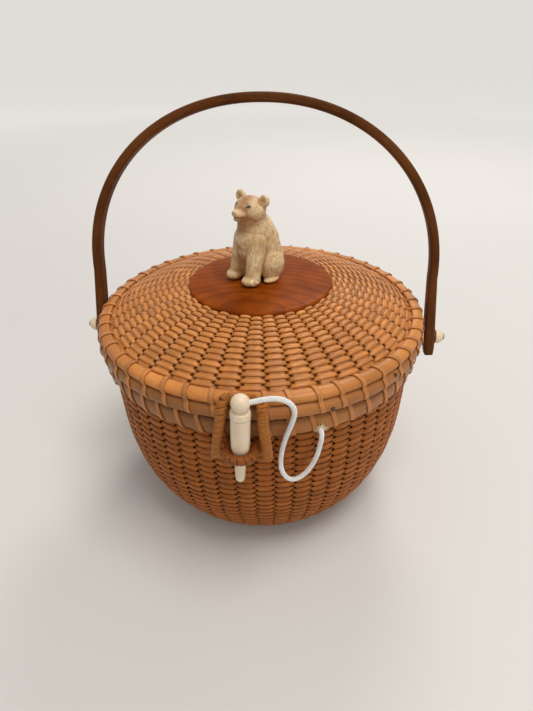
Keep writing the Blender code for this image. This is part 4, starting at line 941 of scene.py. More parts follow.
def handle_line():
    """Outside of the handle from its right foot over the top to its left foot, in millimetres over the pivots."""
    foot, shoulder = np.array((HANDLE_FOOT, HANDLE_SHOULDER))
    leg = foot + (shoulder - foot) * np.arange(12)[:, None] / 12
    bearings = TURN / 4 * np.arange(49) / 48
    bow = np.column_stack([
        shoulder[0] * np.maximum(np.cos(bearings), 0.0) ** HANDLE_POWER,
        shoulder[1] + (HANDLE_TOP - shoulder[1]) * np.sin(bearings) ** HANDLE_POWER,
    ])
    bow[-1] = (0.0, HANDLE_TOP)
    half = np.vstack([leg, bow])
    return np.vstack([half, half[-2::-1] * (-1.0, 1.0)])


def ring_line():
    """Middle of the clasp ring, from the rim round the peg and back."""
    half_way = (RING_START + PEG_Y) / 2
    bearings = TURN / 2 * (1 + np.arange(25) / 24)
    bend = np.column_stack([RING_RADIUS * np.cos(bearings), PEG_Y + RING_RADIUS * np.sin(bearings)])
    left, right = [[(side * RING_RADIUS, y) for y in (RING_START, half_way)] for side in (-1, 1)]
    x, y = np.vstack([left, bend, right[::-1]]).T
    return metres(np.column_stack([CLASP_X + x, y, RING_HEIGHT + RING_SLOPE * (PEG_Y - y)]))


def hasp_line():
    """Middle of the hasp: up its left leg, along the bar on the lid and down its right leg."""
    left, right = [
        [
            (CLASP_X + side * (top + (foot - top) * out), HASP_Y - HASP_FORWARD * forward, HASP_TOP - HASP_DROP * down)
            for out, forward, down in HASP_SHARES
        ]
        for side, top, foot in HASP_SIDES
    ]
    return metres(rounded_corners([*reversed(left), *HASP_BAR, *right], 3))


def offset_line(radii, heights, offset, low, high, steps):
    """Moves a line in by an offset and spaces it evenly between two heights, as (radius, 0, height) points."""
    line = np.column_stack([radii, heights])
    ahead = directions(line)
    moved = line - np.column_stack([ahead[:, 1], -ahead[:, 0]]) * offset
    return upright(evenly(moved[(moved[:, 1] >= low) & (moved[:, 1] <= high)], steps))


def wall_profile(offset, low, high, steps=60):
    """Outside line of the body from the base up."""
    heights = np.linspace(0.0, WALL_TOP, 400)
    share = np.clip(heights / (WALL_TOP - WALL_UPRIGHT), 0.0, 1.0)
    radii = WALL_FOOT + WALL_SPREAD * (1.0 - (1.0 - share) ** WALL_POWER)
    return offset_line(radii, heights, offset, low, high, steps)


def dome_profile(offset, outer=91.6 * MM, inner=43.4 * MM, steps=50):
    """Outside line of the lid from its rim up to the plate."""
    radii = np.linspace(outer, inner, 300)
    rim, there, plate = (radius**DOME_POWER for radius in (DOME_RIM, radii, DOME_PLATE))
    heights = DOME_FOOT + DOME_RISE * (rim - there) / (rim - plate)
    return offset_line(radii, heights, offset, 0.0, 1.0, steps)


# The carved bear: its forms as (centre, half size) shares of its height, front along +X

BEAR_BODY = (
    ((-0.1, 0.0, 0.2), (0.24, 0.25, 0.235)), ((-0.08, 0.0, 0.3), (0.228, 0.24, 0.24)),
    ((-0.06, 0.0, 0.41), (0.218, 0.225, 0.26)), ((-0.01, 0.0, 0.53), (0.2, 0.205, 0.24)),
    ((0.1, 0.0, 0.49), (0.17, 0.19, 0.2)), ((0.05, 0.0, 0.6), (0.185, 0.19, 0.22)),
    ((0.12, 0.0, 0.36), (0.13, 0.17, 0.2)), ((-0.05, 0.19, 0.17), (0.18, 0.115, 0.185)),
    ((-0.05, -0.19, 0.17), (0.17, 0.1, 0.17)), ((0.02, 0.245, 0.028), (0.115, 0.07, 0.034)),
    ((0.06, -0.235, 0.03), (0.11, 0.06, 0.036)), ((0.11, 0.0, 0.2), (0.11, 0.15, 0.24)),
    ((0.25, 0.138, 0.05), (0.115, 0.11, 0.06)), ((0.235, -0.145, 0.055), (0.115, 0.098, 0.066)),
)
BEAR_HEAD = (
    ((0.09, 0.0, 0.825), (0.165, 0.19, 0.138)), ((0.235, 0.0, 0.808), (0.125, 0.076, 0.068)),
    ((0.335, 0.0, 0.825), (0.036, 0.046, 0.036)), ((0.27, 0.0, 0.762), (0.085, 0.05, 0.038)),
    ((0.1, 0.085, 0.785), (0.11, 0.095, 0.09)), ((0.1, -0.085, 0.785), (0.11, 0.095, 0.09)),
    ((0.2, 0.0, 0.865), (0.08, 0.09, 0.05)), ((0.05, 0.175, 0.925), (0.045, 0.068, 0.072)),
    ((0.05, -0.175, 0.925), (0.045, 0.072, 0.072)),
)
# Limbs and neck: (centre, half size) of the form at each end, blended from one into the other
BEAR_LIMBS = (
    (((0.11, 0.115, 0.46), (0.12, 0.11, 0.14)), ((0.215, 0.136, 0.09), (0.088, 0.092, 0.085))),
    (((0.11, -0.115, 0.46), (0.11, 0.105, 0.14)), ((0.205, -0.142, 0.09), (0.084, 0.084, 0.085))),
    (((0.06, 0.0, 0.6), (0.18, 0.18, 0.15)), ((0.07, 0.0, 0.77), (0.15, 0.165, 0.12))),
)
NECK = (0.1, 0.0)
# Places on the head: (centre, reach as a share of the height, depth in millimetres)
EYES = (((0.225, 0.088, 0.885), 0.03, 0.5), ((0.225, -0.088, 0.885), 0.03, 0.5))
EAR_HOLLOWS = (((0.1, 0.18, 0.935), 0.042, 1.4), ((0.1, -0.18, 0.935), 0.042, 1.4))
NOSTRILS = (((0.362, 0.022, 0.832), 0.012, 0.3), ((0.362, -0.022, 0.832), 0.012, 0.3))
# Stained places, partly painted shade under the chin, on the throat and between the legs: (centre, reach, strength);
# those on the head come first
HEAD_STAINS_AND_SHADE = (
    ((0.24, 0.09, 0.875), 0.05, 0.6), ((0.24, -0.09, 0.875), 0.05, 0.6), ((0.11, 0.17, 0.94), 0.04, 0.8),
    ((0.11, -0.17, 0.94), 0.04, 0.8), ((0.24, 0.02, 0.885), 0.05, 1.3), ((0.15, 0.0, 0.95), 0.07, 0.8),
    ((0.1, 0.0, 0.97), 0.1, 0.6), ((0.25, 0.0, 0.7), 0.11, 1.5), ((0.2, 0.12, 0.68), 0.07, 0.8),
    ((0.33, 0.0, 0.735), 0.04, 0.5), ((0.1, 0.16, 0.75), 0.08, 0.4), ((0.1, -0.16, 0.75), 0.08, 0.4),
)
BODY_STAINS_AND_SHADE = (
    ((0.24, 0.0, 0.64), 0.1, 1.1), ((0.24, -0.03, 0.25), 0.1, 0.9), ((0.24, -0.03, 0.1), 0.08, 1.0),
    ((0.15, 0.2, 0.5), 0.1, 0.5), ((0.06, 0.22, 0.28), 0.06, 0.55), ((0.11, 0.22, 0.18), 0.05, 0.6),
    ((-0.1, 0.0, 0.0), 0.3, 0.3), ((0.12, -0.2, 0.45), 0.12, 0.5), ((0.1, 0.24, 0.09), 0.04, 0.5),
    ((0.27, 0.14, 0.1), 0.05, 0.25),
)
# Toes of a paw and of a foot: how far they are to the side, where they start and how high they reach
BEAR_TOES = ((0.14, 0.265, 0.105), (0.235, 0.15, 0.09))
TOE_GAPS = (-0.036, 0.0, 0.036)


def bear_solid(height, head_turn, grid):
    """Union of the bear's forms as one closed, softened skin."""
    shape = bmesh.new()
    neck = Vector((*NECK, 0.0))
    swing = Matrix.Translation(neck) @ Matrix.Rotation(head_turn, 4, "Z") @ Matrix.Translation(-neck)
    limbs = []
    for start, stop in BEAR_LIMBS:
        start, stop = np.array(start), np.array(stop)
        limbs += [tuple(start + (stop - start) * share) for share in np.linspace(0.0, 1.0, 9)]
    for forms, turn in (((*BEAR_BODY, *limbs), Matrix.Identity(4)), (BEAR_HEAD, swing)):
        for centre, half in forms:
            place = turn @ Matrix.Translation(centre) @ Matrix.Diagonal((*half, 1.0))
            bmesh.ops.create_icosphere(shape, subdivisions=4, radius=1.0, matrix=Matrix.Scale(height, 4) @ place)
    source = add_piece("bear_forms", close_shape(shape, bpy.data.meshes.new("bear forms")), smooth=False)
    cover = source.modifiers.new("Skin", "REMESH")
    cover.mode, cover.voxel_size = "VOXEL", grid
    soften = source.modifiers.new("Soften", "SMOOTH")
    soften.factor, soften.iterations = 0.5, 24
    return made_of(source)


def numbers(things, name, size, kind=float):
    """One value of all points or edges of a mesh."""
    values = np.empty(len(things) * size, kind)
    things.foreach_get(name, values)
    return values.reshape(-1, size)


def spread(values, ends, rounds):
    """Averages a value over the neighbours of each point, some times over."""
    one, other = np.vstack([ends, ends[:, ::-1]]).T
    number = np.bincount(one, minlength=len(values)).astype(float)
    for _ in range(rounds):
        total = np.bincount(one, values[other], len(values))
        values = (values + total / number) / 2
    return values


def near(points, centre, reach):
    """How close points are to a centre, from 1 there to nothing outside its reach."""
    return np.exp(-((np.linalg.norm(points - np.array(centre), axis=1) / reach) ** 2))


def dip(values, middle, width):
    """How close values are to a middle one."""
    return np.exp(-(((values - middle) / width) ** 2))


def ramp(values):
    return np.clip(values, 0.0, 1.0)


# The pieces


class BASKET_OT_stage(bpy.types.Operator):
    """Make the floor, the soft lamps, the pale room and the camera"""

    bl_idname = "basket.stage"
    bl_label = "Stage"

    def execute(self, context):
        floor = bpy.data.meshes.new("floor")
        corners = [(x * FLOOR_REACH, y * FLOOR_REACH, 0.0) for x, y in ((-1, -1), (1, -1), (1, 1), (-1, 1))]
        floor.from_pydata(corners, [], [(0, 1, 2, 3)])
        add_piece("floor", floor, "pale paper", smooth=False)
        for name, place, wide, power, tint in LAMPS:
            data = bpy.data.lights.new(name, "AREA")
            data.shape, data.size, data.energy, data.color = "DISK", wide, power, tint
            lamp = bpy.data.objects.new(name, data)
            lamp.location = place
            lamp.rotation_euler = (Vector(LAMP_TARGET) - Vector(place)).to_track_quat("-Z", "Y").to_euler()
            context.scene.collection.objects.link(lamp)
        self.make_world(context.scene, context.scene.basket_colours.paper)
        self.make_camera(context.scene)
        return {"FINISHED"}

    def make_world(self, scene, paper):
        scene.world = bpy.data.worlds.new("pale room")
        scene.world.use_nodes = True
        graph = Graph(scene.world.node_tree)
        graph.tree.nodes.clear()
        rays = graph.outs("ShaderNodeLightPath")
        seen = graph.math("MAXIMUM", rays["Is Camera Ray"], rays["Is Glossy Ray"])
        seen = graph.math("MAXIMUM", seen, rays["Is Transmission Ray"])
        light = graph.out("ShaderNodeBackground", {"Color": (1.0, 0.985, 0.96, 1.0), "Strength": ROOM_LIGHT})
        shown = graph.out("ShaderNodeBackground", {"Color": shade(paper, 1.0), "Strength": 1.0})
        both = graph.out("ShaderNodeMixShader", {0: seen, 1: light, 2: shown})
        graph.node("ShaderNodeOutputWorld", {"Surface": both})
        scene.view_settings.view_transform = "Standard"

    def make_camera(self, scene):
        data = bpy.data.cameras.new("camera")
        data.sensor_width, data.lens = SENSOR, SENSOR * FOCAL_PIXELS / PICTURE_HEIGHT
        data.clip_start = 0.01
        camera = bpy.data.objects.new("camera", data)
        level, slope = math.cos(CAMERA_PITCH), math.sin(CAMERA_PITCH)
        back = Vector((math.sin(CAMERA_YAW) * level, -math.cos(CAMERA_YAW) * level, slope))
        right = Vector((math.cos(CAMERA_YAW), math.sin(CAMERA_YAW), 0.0))
        upward = back.cross(right)
        cosine, sine = math.cos(CAMERA_ROLL), math.sin(CAMERA_ROLL)
        right, upward = cosine * right + sine * upward, cosine * upward - sine * right
        turn = Matrix((right, upward, back)).transposed().to_4x4()
        camera.matrix_world = Matrix.Translation(CAMERA_PLACE) @ turn
        scene.collection.objects.link(camera)
        scene.camera = camera


class BASKET_OT_cord(bpy.types.Operator):
    """Braid the cotton cord from the peg's head to the hole in the rim"""

    bl_idname = "basket.cord"
    bl_label = "Peg Cord"

    def execute(self, context):
        settings = context.scene.basket_clasp
        strands, radius = settings.cord_strands, settings.cord_diameter / 2
        route = smooth_points(metres(CORD_ROUTE), 6)
        length = running_length(route)[-1]
        steps = int(length / (settings.cord_lay / strands) * 6)
        down, path = np.linspace(0.0, length, steps), evenly(route, steps)
        for _ in range(3):
            path[1:-1] = (path[:-2] + 2 * path[1:-1] + path[2:]) / 4
        ahead = directions(path)
        side = np.empty_like(path)
        side[0] = np.cross(ahead[0], (0.0, 1.0, 0.3))
        side[0] /= np.linalg.norm(side[0])
        for index in range(1, steps):
            side[index] = side[index - 1] - ahead[index] * (side[index - 1] @ ahead[index])
            side[index] /= np.linalg.norm(side[index])
        rise = np.cross(ahead, side)
        # The core's low lift, and each yarn's lift where it goes under, set where the cotton is painted in shade
        pieces = [self.tube("core", path, side, rise, (radius * 0.62, radius * 0.62), 10, down, 0.0, -0.4)]
        wind = TURN / settings.cord_lay
        wave = np.cos(strands * wind * down)
        for way in (1, -1):
            lift = (way * wave * 0.55 + 0.3)[:, None]
            for number in range(strands):
                bearing = way * wind * down + TURN * number / strands
                outward = np.cos(bearing)[:, None] * side + np.sin(bearing)[:, None] * rise
                yarn = path + outward * (radius * (0.78 + way * wave * 0.12))[:, None]
                flank = np.cross(directions(yarn), outward)
                oval = (radius * 0.25, radius * 0.2)
                pieces.append(self.tube("yarn", yarn, flank, outward, oval, 5, down, number * 2 + way, lift))
        cord = join("peg_cord_braid", *pieces)
        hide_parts("peg_cord")
        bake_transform(cord)
        return {"FINISHED"}

    def tube(self, name, line, flank, outward, oval, sides, down, strand, lift):
        """One yarn with an oval section."""
        turns = (np.arange(sides) / sides * TURN)[:, None]
        points = line[:, None] + np.cos(turns) * oval[0] * flank[:, None] + np.sin(turns) * oval[1] * outward[:, None]
        fields = {"along": down[:, None], "across": np.cos(turns[:, 0]), "strand": strand, "lift": lift}
        return grid_piece(name, points, "cord cotton", caps=True, **fields)


def weave(name, line, stave_line, settings, staves, turn, stave_size, **values):
    """A weaver and its staves, as two pieces."""
    strand = grow(
        name + "_weave", line, "Weaver", name + " cane", staves=staves, wave=settings.wave, wander=settings.wander,
        thickness=settings.strand_thickness, turn=turn, **values,
    )
    width, radius = stave_size
    under = grow(
        name + "_staves", stave_line, "Staves", name + " stave", count=staves, width=width * MM,
        at_radius=radius * MM, thickness=STAVE_THICKNESS, turn=turn,
    )
    return strand, under


class BASKET_OT_body(bpy.types.Operator):
    """Weave the basket's body: staves from base to rim, and one weaver that spirals up round them"""

    bl_idname = "basket.body"
    bl_label = "Body Weave"

    def execute(self, context):
        settings = context.scene.basket_weave
        inset = settings.wave + settings.strand_thickness / 2
        strand, staves = weave(
            "body", wall_profile(inset, 1.6 * MM, WALL_TOP - 0.6 * MM),
            wall_profile(inset - STAVE_RISE, 1.0 * MM, WALL_TOP, 36), settings, settings.body_staves,
            settings.body_turn, (8.0, 94.0), row=settings.body_row, start_width=settings.body_strand * 0.9,
            end_width=settings.body_strand, seed=1.0,
        )
        keep(strand, "basket", "body_cane", "basket_wall")
        keep(staves, "basket", "body_cane")
        return {"FINISHED"}


class BASKET_OT_lid(bpy.types.Operator):
    """Weave the domed lid: staves from plate to rim, and one weaver that spirals in over them"""

    bl_idname = "basket.lid"
    bl_label = "Lid Weave"

    def execute(self, context):
        settings = context.scene.basket_weave
        inset = settings.wave + settings.strand_thickness / 2
        strand, staves = weave(
            "lid", dome_profile(inset), dome_profile(inset - STAVE_RISE, 92.4 * MM, 42.0 * MM, 30), settings,
            settings.lid_staves, settings.lid_turn, (9.6, 90.0), row=settings.lid_row,
            start_width=settings.lid_edge_strand, end_width=settings.lid_strand, points_per_stave=6, seed=2.0,
        )
        keep(strand, "lid", "lid_cane", "lid_dome")
        keep(staves, "lid", "lid_cane")
        return {"FINISHED"}


def lashing(name, line, rims, **values):
    """Lashes round a rim, each bent along a line."""
    return grow(
        name, smooth_points(upright(metres(line)), 3), "Lashes", "lashing cane", width=rims.lash_width,
        thickness=rims.lash_thickness, **values,
    )


class BASKET_OT_body_rim(bpy.types.Operator):
    """Bend the hoops round the body's edge, cover it with a strip and lash them together"""

    bl_idname = "basket.body_rim"
    bl_label = "Body Rim"

    def execute(self, context):
        rims = context.scene.basket_rims
        section = half_round(*BODY_OUTER_HOOP)
        # Painted shadow: the top of the outer hoop darkens where the lid's band hangs over it
        shadow = np.interp(section[:, 1], (112.2 * MM, 116.6 * MM), (1.0, -0.3))
        outer = turned_piece("body_outer_hoop", section, "shadowed rim wood", lift=shadow)
        inner = turned_piece("body_inner_hoop", half_round(*BODY_INNER_HOOP), "hoop wood")
        # The strip on the body's edge is painted dark, as the shade in the gap under the lid's rim
        cap = turned_piece("body_edge_strip", metres(BODY_CAP), "shaded cane")
        lashes = lashing(
            "body_lashes", BODY_LASH, rims, count=rims.body_lashes, slant=rims.slant / BODY_LASH_OUTSIDE,
            radius=97.0 * MM, turn=rims.body_lash_turn, seed=3,
        )
        keep(outer, "basket", "hoop_wood", "basket_outer_hoop")
        keep(inner, "basket", "hoop_wood", "basket_inner_hoop")
        keep(cap, "basket", "lashing_cane")
        keep(lashes, "basket", "lashing_cane", "basket_rim_lashing")
        keep(self.fray(), "basket", "lashing_cane")
        return {"FINISHED"}

    def fray(self):
        """Torn cane fibres round the hole that the cord goes into, and a dark disc painted as the shade inside the
        hole.
        """
        chance = random.Random(5)
        turn = Matrix.Rotation(HOLE_BEARING, 4, "Z")
        outward = Vector((math.cos(HOLE_BEARING), math.sin(HOLE_BEARING), 0.0))
        sideways = Vector((-outward.y, outward.x, 0.0))
        centre = outward * HOLE_REACH + UP * HOLE_HEIGHT
        shape = bmesh.new()
        for index in range(26):
            bearing = TURN * (index + chance.uniform(-0.3, 0.3)) / 26
            spoke = sideways * math.cos(bearing) + UP * math.sin(bearing)
            flank = sideways * -math.sin(bearing) + UP * math.cos(bearing)
            root, length, wide = 1.2 * MM, chance.uniform(1.2, 3.6) * MM, chance.uniform(0.3, 0.6) * MM
            rise = chance.uniform(0.3, 1.1) * MM
            start = centre + spoke * root + outward * rise
            tip = centre + spoke * (root + length) + outward * chance.uniform(0.1, 0.9) * MM
            places = (start + flank * wide, start - flank * wide, start - outward * 0.5 * MM, tip)
            corners = [shape.verts.new(point) for point in places]
            for trio in ((0, 1, 3), (1, 2, 3), (2, 0, 3), (0, 2, 1)):
                shape.faces.new([corners[part] for part in trio])
        bmesh.ops.recalc_face_normals(shape, faces=shape.faces)
        fibres = close_shape(shape, bpy.data.meshes.new("cord_hole_fray"))
        # A flat dark disc of painted shade inside the hole
        dark = bmesh.new()
        place = Matrix.Translation(centre - outward * 0.75 * MM) @ turn @ Matrix.Diagonal((0.4, 1.0, 1.0, 1.0))
        bmesh.ops.create_icosphere(dark, subdivisions=3, radius=2.3 * MM, matrix=place)
        hole = close_shape(dark, bpy.data.meshes.new("cord_hole"))
        fibres = add_piece("cord_hole_fray", fibres, "torn cane", smooth=False)
        return join("cord_hole_fray", fibres, add_piece("cord_hole", hole, "shaded cane"))


class BASKET_OT_lid_rim(bpy.types.Operator):
    """Bend the hoops round the lid's edge, lay the pale strip over them and lash them together"""

    bl_idname = "basket.lid_rim"
    bl_label = "Lid Rim"

    def execute(self, context):
        rims = context.scene.basket_rims
        outer = turned_piece("lid_outer_band", half_round(*LID_OUTER_HOOP), "rim wood")
        strip = turned_piece("lid_edge_strip", metres(LID_STRIP), "strip cane")
        skirt = turned_piece("lid_skirt", metres(LID_SKIRT), "lid stave")
        inner = turned_piece("lid_inner_band", half_round(*LID_INNER_HOOP), "hoop wood")
        lashes = lashing(
            "lid_lashes", LID_LASH, rims, count=rims.lid_lashes, slant=rims.slant / LID_LASH_OUTSIDE,
            radius=99.0 * MM, turn=rims.lid_lash_turn, seed=4,
        )
        keep(outer, "lid", "hoop_wood", "lid_outer_hoop")
        keep(strip, "lid", "hoop_wood")
        keep(skirt, "lid", "lid_cane")
        keep(inner, "lid", "hoop_wood", "lid_inner_hoop")
        keep(lashes, "lid", "lashing_cane", "lid_rim_lashing")
        return {"FINISHED"}


class BASKET_OT_boards(bpy.types.Operator):
    """Turn the base board and the round plate on the lid"""

    bl_idname = "basket.boards"
    bl_label = "Base Board and Lid Plate"

    def execute(self, context):
        base = turned_piece("base_turning", metres(BASE_OUTLINE), "cherry", sides=192)
        crown = [(r, PLATE_TOP - PLATE_CROWN * (r / PLATE_RADIUS) ** 2) for r in np.linspace(42.4, 0.0, 14)]
        plate = turned_piece("plate_turning", metres((*PLATE_OUTLINE, *crown)), "cherry", sides=192)
        keep(base, "basket", "cherry", "base_board")
        keep(plate, "lid", "cherry", "lid_top_plate")
        return {"FINISHED"}


class BASKET_OT_bear(bpy.types.Operator):
    """Carve the seated bear: its forms, eyes, ears, toes and mouth, the stain in its hollows, and painted shade under
    its chin, on its throat and between its legs
    """

    bl_idname = "basket.bear"
    bl_label = "Carved Bear"

    def execute(self, context):
        settings = context.scene.basket_bear
        height = settings.height
        mesh = bear_solid(height, settings.head_turn, settings.grid)
        points, normals = numbers(mesh.vertices, "co", 3) / height, numbers(mesh.vertex_normals, "vector", 3)
        ends = numbers(mesh.edges, "vertices", 2, int)
        neck = Vector((*NECK, 0.0))
        back = Matrix.Translation(neck) @ Matrix.Rotation(-settings.head_turn, 4, "Z") @ Matrix.Translation(-neck)
        straight = placed(points, back)
        on_head = ramp((points[:, 2] + points[:, 0] * 0.25 - 0.69) / 0.06)
        sunk, ink = self.carve(points, straight, on_head)
        tint = self.stain(points, straight, normals, ends, on_head, height)
        moved = points * height - normals * (np.clip(sunk, -1.0, 1.4) * MM)[:, None]
        place = Matrix.Translation(BEAR_PLACE) @ Matrix.Rotation(settings.facing, 4, "Z")
        moved = placed(moved, place)
        moved[:, 2] = np.maximum(moved[:, 2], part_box("carved_bear")[0].z)
        mesh.vertices.foreach_set("co", moved.ravel())
        mesh.update()
        bare = ramp(1.0 - near(straight, (0.33, 0.0, 0.78), 0.06) * 1.1 - (points[:, 2] < 0.1) * 0.5)
        store_values(mesh, groove=bare, tint=spread(tint, ends, 2), ink=ink)
        attribute = mesh.attributes.new("fur", "FLOAT_VECTOR", "POINT")
        attribute.data.foreach_set("vector", self.fur(points, straight, on_head).astype(np.float32).ravel())
        keep(add_piece("bear_carving", mesh, "bone"), "lid", "bone", "carved_bear")
        return {"FINISHED"}

    def carve(self, points, straight, on_head):
        """How deep each point is cut in millimetres, and how dark its ink is."""
        sunk, ink = np.zeros(len(points)), np.zeros(len(points))
        for centre, reach, depth in (*EYES, *EAR_HOLLOWS, *NOSTRILS):
            sunk += depth * near(straight, centre, reach)
        for (_, y, z), _, _ in EYES:
            ball = dip(straight[:, 1], y, 0.024) * dip(straight[:, 2], z, 0.015) * (straight[:, 0] > 0.12)
            sunk -= 0.5 * ball
            ink = np.maximum(ink, ramp(ball * 2.6 - 0.7) * on_head)
        for centre, reach, _ in NOSTRILS:
            ink = np.maximum(ink, ramp(near(straight, centre, reach) * 1.6 - 0.3) * 0.8)
        lips = straight[:, 2] + 0.2 * np.abs(straight[:, 1])
        mouth = dip(lips, 0.786, 0.009) * ramp((straight[:, 0] - 0.255) / 0.03) * on_head
        sunk += 0.55 * mouth
        for side in (-1, 1):
            for out, front, top in BEAR_TOES:
                for toe in TOE_GAPS:
                    line = dip(points[:, 1], out * side + toe, 0.0075)
                    sunk += 0.75 * line * ramp((points[:, 0] - front) / 0.02) * ramp((top - points[:, 2]) / 0.03)
        return sunk, np.maximum(ink, mouth * 0.85)

    def stain(self, points, straight, normals, ends, on_head, height):
        """How much stain each point gets: in hollows and in listed places, of which those under the chin, on the throat
        and between the legs are partly painted shade.
        """
        around = np.column_stack([spread(points[:, axis], ends, 3) for axis in range(3)])
        hollow = spread(((around - points) * normals).sum(1) * height, ends, 3)
        low, high = np.percentile(hollow, (60, 98.5))
        tint = ramp((hollow - low) / (high - low)) * 0.75
        for centre, reach, strength in HEAD_STAINS_AND_SHADE:
            tint += strength * near(straight, centre, reach) * on_head
        for centre, reach, strength in BODY_STAINS_AND_SHADE:
            tint += strength * near(points, centre, reach)
        return ramp(tint)

    def fur(self, points, straight, on_head):
        """Where each point lies in the pattern of hairs, which run down the body and back over the head."""
        lean = np.array([noise.noise(Vector(point) * 9.0) for point in points])
        body = np.column_stack([points[:, 0] / 0.011, points[:, 1] / 0.011, points[:, 2] / 0.085 + lean * 0.6])
        head = np.column_stack([straight[:, 0] / 0.075 + lean * 0.5, straight[:, 1] / 0.011, straight[:, 2] / 0.011])
        return np.where(on_head[:, None] > 0.5, head, body)


class BASKET_OT_handle(bpy.types.Operator):
    """Bend the wooden handle from foot to foot"""

    bl_idname = "basket.handle"
    bl_label = "Handle"

    def execute(self, context):
        line = handle_line()
        share = np.maximum(line[:, 1], 0.0) / HANDLE_SHOULDER[1]
        thick = HANDLE_THICKNESS + HANDLE_FOOT_EXTRA * ramp(1.0 - share)
        ahead = directions(line)
        inward = np.column_stack([-ahead[:, 1], ahead[:, 0]])
        path = upright((line + inward * (thick / 2)[:, None]) * MM)
        place = Matrix.Translation((0.0, 0.0, PIVOT_HEIGHT)) @ Matrix.Rotation(HANDLE_LEAN, 4, "X")
        ease = np.ones(len(path))
        ease[[0, -1]], ease[[1, -2]] = 0.84, 0.96
        sections = [rounded_section(HANDLE_DEPTH * scale, deep * scale, 1.5) for deep, scale in zip(thick, ease)]
        side = place.to_3x3() @ Vector((0.0, 1.0, 0.0))
        handle = swept_piece("bent_handle", placed(path, place), sections, side, "walnut")
        keep(handle, "handle", "walnut", "handle")
        return {"FINISHED"}


class BASKET_OT_pivots(bpy.types.Operator):
    """Turn the knobs, washers and rivets that the handle swings on"""

    bl_idname = "basket.pivots"
    bl_label = "Handle Pivots"

    def execute(self, context):
        for side, hand in ((-1, "left"), (1, "right")):
            turn = Matrix.Rotation(side * TURN / 4, 4, "Y")
            for name, start, outline, finish, slot, node in PIVOT_PARTS:
                place = Matrix.Translation((side * start * MM, 0.0, PIVOT_HEIGHT)) @ turn
                line = smooth_points(metres(outline), 3)
                piece = turned_piece(f"{name}_{hand}", line, finish, sides=40, place=place)
                keep(piece, "pivots", slot, f"{node}_{hand}")
        return {"FINISHED"}


class BASKET_OT_ring(bpy.types.Operator):
    """Wind cane round the clasp ring"""

    bl_idname = "basket.ring"
    bl_label = "Clasp Ring"

    def execute(self, context):
        turns, path = context.scene.basket_clasp.ring_turns, ring_line()
        wrap = grow(
            "ring_winding", path, "Winding", "ring cane", turns=turns, half_width=2.0 * MM, half_height=2.0 * MM,
            thickness=0.85 * MM, strip=3.25 * MM, across=tuple(UP), margin=0.6 * MM,
        )
        core = swept_piece("ring_core", path, oval_section(1.85, 1.85), UP, "body stave")
        keep(wrap, "basket", "lashing_cane", "clasp_ring_wrap")
        keep(core, "basket", "lashing_cane", "clasp_ring_core")
        return {"FINISHED"}


class BASKET_OT_hasp(bpy.types.Operator):
    """Wind cane round both legs of the hasp and over its bar"""

    bl_idname = "basket.hasp"
    bl_label = "Hasp"

    def execute(self, context):
        turns, path = context.scene.basket_clasp.hasp_turns, hasp_line()
        run = running_length(path)
        middle = int(np.searchsorted(run, run[-1] * 0.49))
        common = {"half_height": 1.45 * MM, "across": FORWARD, "margin": 0.2 * MM, "taper": 3.0 * MM}
        coarse = grow(
            "hasp_winding", path[: middle + 3], "Winding", "winding cane", turns=turns // 2, half_width=2.15 * MM,
            thickness=0.95 * MM, strip=3.6 * MM, **common,
        )
        fine = grow(
            "hasp_fine_winding", path[middle - 2 :], "Winding", "fine winding cane", turns=turns, half_width=2.5 * MM,
            thickness=0.65 * MM, strip=1.9 * MM, **common,
        )
        core = swept_piece("hasp_wood", path, oval_section(1.1, 1.8), FORWARD, "body stave")
        keep(join("hasp_winding", coarse, fine), "hasp", "lashing_cane", "hasp_wrap")
        keep(core, "hasp", "lashing_cane", "hasp_core")
        return {"FINISHED"}


class BASKET_OT_peg(bpy.types.Operator):
    """Turn the peg with its ball head and collar"""

    bl_idname = "basket.peg"
    bl_label = "Peg"

    def execute(self, context):
        place = Matrix.Translation(metres((CLASP_X, PEG_Y, RING_HEIGHT))) @ Matrix.Rotation(PEG_LEAN, 4, "Y")
        place = place @ Matrix.Translation((0.0, 0.0, -PEG_DROP * MM))
        outline = smooth_points(metres(PEG_OUTLINE), 3)
        outline[:, 0] = np.maximum(outline[:, 0], 0.0)
        keep(turned_piece("turned_peg", outline, "ivory", sides=64, place=place), "peg", "ivory", "clasp_peg")
        return {"FINISHED"}


class BASKET_OT_fittings(bpy.types.Operator):
    """Finish the hinges, rods, nails and screw, whose shapes are already right"""

    bl_idname = "basket.fittings"
    bl_label = "Hinges and Nails"

    def execute(self, context):
        for finish, nodes in FITTINGS.items():
            for node in nodes:
                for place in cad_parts[node].material_slots:
                    place.material = FINISHES[finish]
        return {"FINISHED"}


class BASKET_PT_maker(bpy.types.Panel):
    """Panel that lists the basket's pieces and their settings"""

    bl_label = "Woven Basket"
    bl_idname = "BASKET_PT_maker"
    bl_space_type = "VIEW_3D"
    bl_region_type = "UI"
    bl_category = "Basket"

    def draw(self, context):
        for kind in OPERATORS:
            self.layout.operator(kind.bl_idname)
        for name, kind in SETTINGS.items():
            box = self.layout.box()
            for field in kind.__annotations__:
                box.prop(getattr(context.scene, name), field)


# What the operators read: the lamps, and sections and lines in millimetres

LAMPS = (
    ("key lamp", (0.3, -0.25, 1.4), 0.7, 9.5, (1.0, 0.97, 0.93)),
    ("fill lamp", (0.9, -1.1, 0.8), 1.2, 3.0, (0.97, 0.98, 1.0)),
    ("back lamp", (0.2, 1.0, 1.1), 0.5, 5.5, (1.0, 0.98, 0.95)),
)
